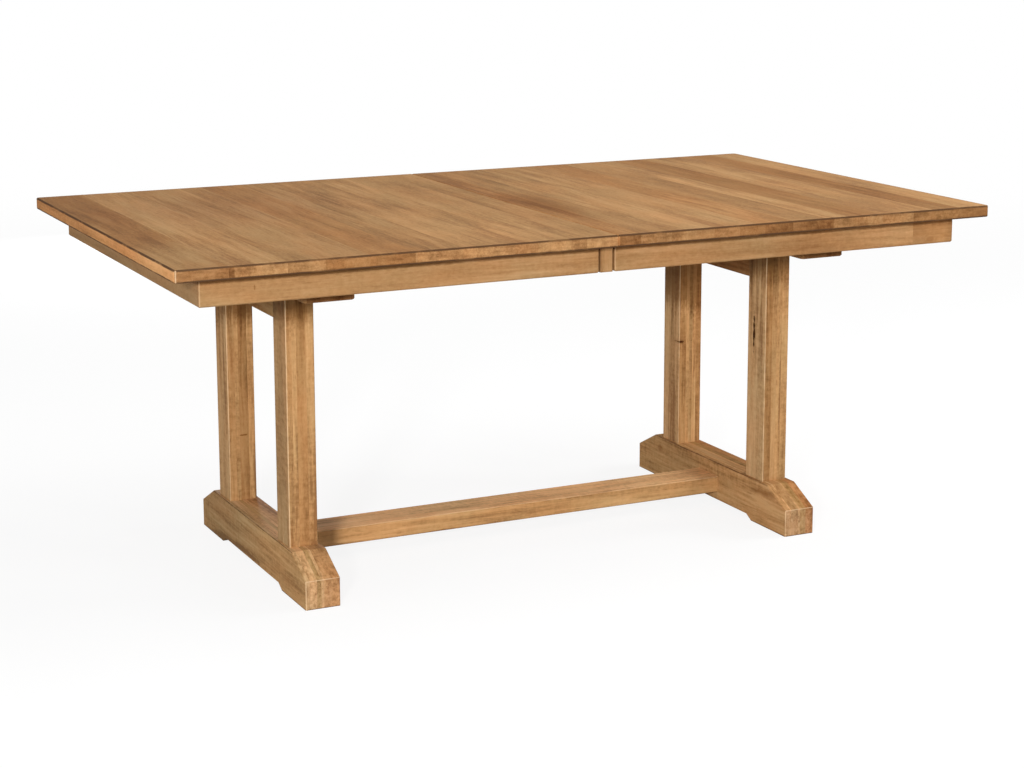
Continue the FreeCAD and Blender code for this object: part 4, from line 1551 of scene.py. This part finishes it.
@dataclass
class Studio:
    """Camera, lamps, world and floor."""

    camera_place: Point = (-2.0216, -4.2302, 1.4237)
    camera_yaw: float = -25.726
    camera_pitch: float = -10.332
    camera_roll: float = -0.125
    lens: float = 75.43
    shift_y: float = -0.10
    ambient: float = 0.17
    lamp_aim: Point = (0.0, 0.0, 0.45)
    lamps: tuple[Lamp, ...] = (
        Lamp("left_front_lamp", (-3.4, -4.8, 1.90), 226.0, 0.5),
        Lamp("right_front_lamp", (2.6, -4.8, 1.90), 34.0, 0.6),
        Lamp("left_lamp", (-9.0, -2.6, 2.4), 96.0, 1.6, (0.90, 0.97, 1.0)),
        Lamp("upper_right_lamp", (1.6, -0.6, 3.8), 66.0, 2.6),
        Lamp("upper_left_lamp", (-1.8, -0.5, 3.8), 22.0, 2.6),
        Lamp("right_lamp", (5.0, -1.2, 2.4), 180.0, 2.0),
        Lamp("rear_fill", (0.6, 4.6, 0.42), 60.0, 0.5),
    )
    floor_radius: float = 7.0
    floor_level: float = -0.4 * MM
    floor_glow: float = 0.78
    floor_fade: tuple[float, float] = (0.25, 0.9)
    glow_strength: float = 1.12

    def build(self) -> None:
        """Make everything that surrounds the table."""
        self._camera()
        self._world()
        for lamp in self.lamps:
            self._lamp(lamp)
        self._floor()
        bpy.context.scene.view_settings.view_transform = "Standard"

    def _camera(self) -> None:
        """Make the camera at the photograph's angle."""
        data = bpy.data.cameras.new("camera")
        data.lens = self.lens
        data.sensor_width = 36.0
        data.shift_y = self.shift_y
        data.clip_end = 60.0
        camera = bpy.data.objects.new("camera", data)
        turn = Matrix.Rotation(math.radians(self.camera_yaw), 4, "Z")
        tilt = Matrix.Rotation(math.radians(90.0 + self.camera_pitch), 4, "X")
        roll = Matrix.Rotation(math.radians(self.camera_roll), 4, "Z")
        camera.matrix_world = Matrix.Translation(self.camera_place) @ turn @ tilt @ roll
        bpy.context.scene.collection.objects.link(camera)
        bpy.context.scene.camera = camera

    @staticmethod
    def _seen(graph: Graph) -> Signal:
        """One for rays that show the background as white: from the camera, in gloss and through glass.

        Args:
            graph: tree in which the rays are told apart.

        Returns:
            One for those rays, and zero for the others.
        """
        path = graph.node("ShaderNodeLightPath", None, None, "Is Camera Ray")
        outputs = path.socket.node.outputs
        gloss = Signal(graph, outputs["Is Glossy Ray"])
        return path.most(gloss).most(Signal(graph, outputs["Is Transmission Ray"]))

    def _world(self) -> None:
        """Make the world white to look at, with an even soft light on the table."""
        world = bpy.data.worlds.new("studio_world")
        world.use_nodes = True
        graph = Graph(world.node_tree)
        strength = self._seen(graph) * (1.0 - self.ambient) + self.ambient
        light = graph.node("ShaderNodeBackground", None, {"Color": (*WHITE, 1.0), "Strength": strength})
        graph.show(light, "World")
        bpy.context.scene.world = world

    def _lamp(self, lamp: Lamp) -> None:
        """Make a lamp that faces the middle of the table.

        Args:
            lamp: its place, power, size and colour.
        """
        data = bpy.data.lights.new(lamp.name, "AREA")
        data.shape = "SQUARE"
        data.size = lamp.size
        data.energy = lamp.power
        data.color = lamp.colour
        body = bpy.data.objects.new(lamp.name, data)
        body.location = lamp.place
        away = Vector(self.lamp_aim) - Vector(lamp.place)
        body.rotation_euler = away.to_track_quat("-Z", "Y").to_euler()
        bpy.context.scene.collection.objects.link(body)

    def _floor(self) -> None:
        """Make a pale floor that fades into the white around it and keeps the table's shadow."""
        Bench.clear()
        bpy.ops.mesh.primitive_circle_add(
            vertices=96, radius=self.floor_radius, fill_type="NGON", location=(0.0, 0.0, self.floor_level)
        )
        floor = bpy.context.object
        floor.name = "floor"
        material, graph = Finish().begin("studio_floor")
        spot = graph.place()
        grain = graph.noise(spot, 240.0, 2.0, 0.5)
        colour = graph.mix(grain * 0.04, (0.62, 0.62, 0.62), (0.58, 0.58, 0.58))
        matt = graph.node("ShaderNodeBsdfDiffuse", None, {"Color": colour})
        light = {"Color": (*WHITE, 1.0), "Strength": self.glow_strength}
        glow = graph.node("ShaderNodeEmission", None, light)
        clear = graph.node("ShaderNodeBsdfTransparent")
        seen = self._seen(graph)
        pale = graph.node("ShaderNodeMixShader", None, {0: seen * self.floor_glow, 1: matt, 2: glow})
        start, end = self.floor_fade
        fade = graph.length(spot).rise(self.floor_radius * start, self.floor_radius * end) * seen
        graph.show(graph.node("ShaderNodeMixShader", None, {0: fade, 1: pale, 2: clear}))
        floor.data.materials.append(material)


def main() -> None:
    """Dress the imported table, add its hardware and set up the studio."""
    logging.basicConfig(level=logging.INFO, format="%(message)s")
    for assembly in (TableTop(), Aprons(), Base(), Hardware()):
        assembly.dress()
    Studio().build()


if __name__ == "__main__":
    main()
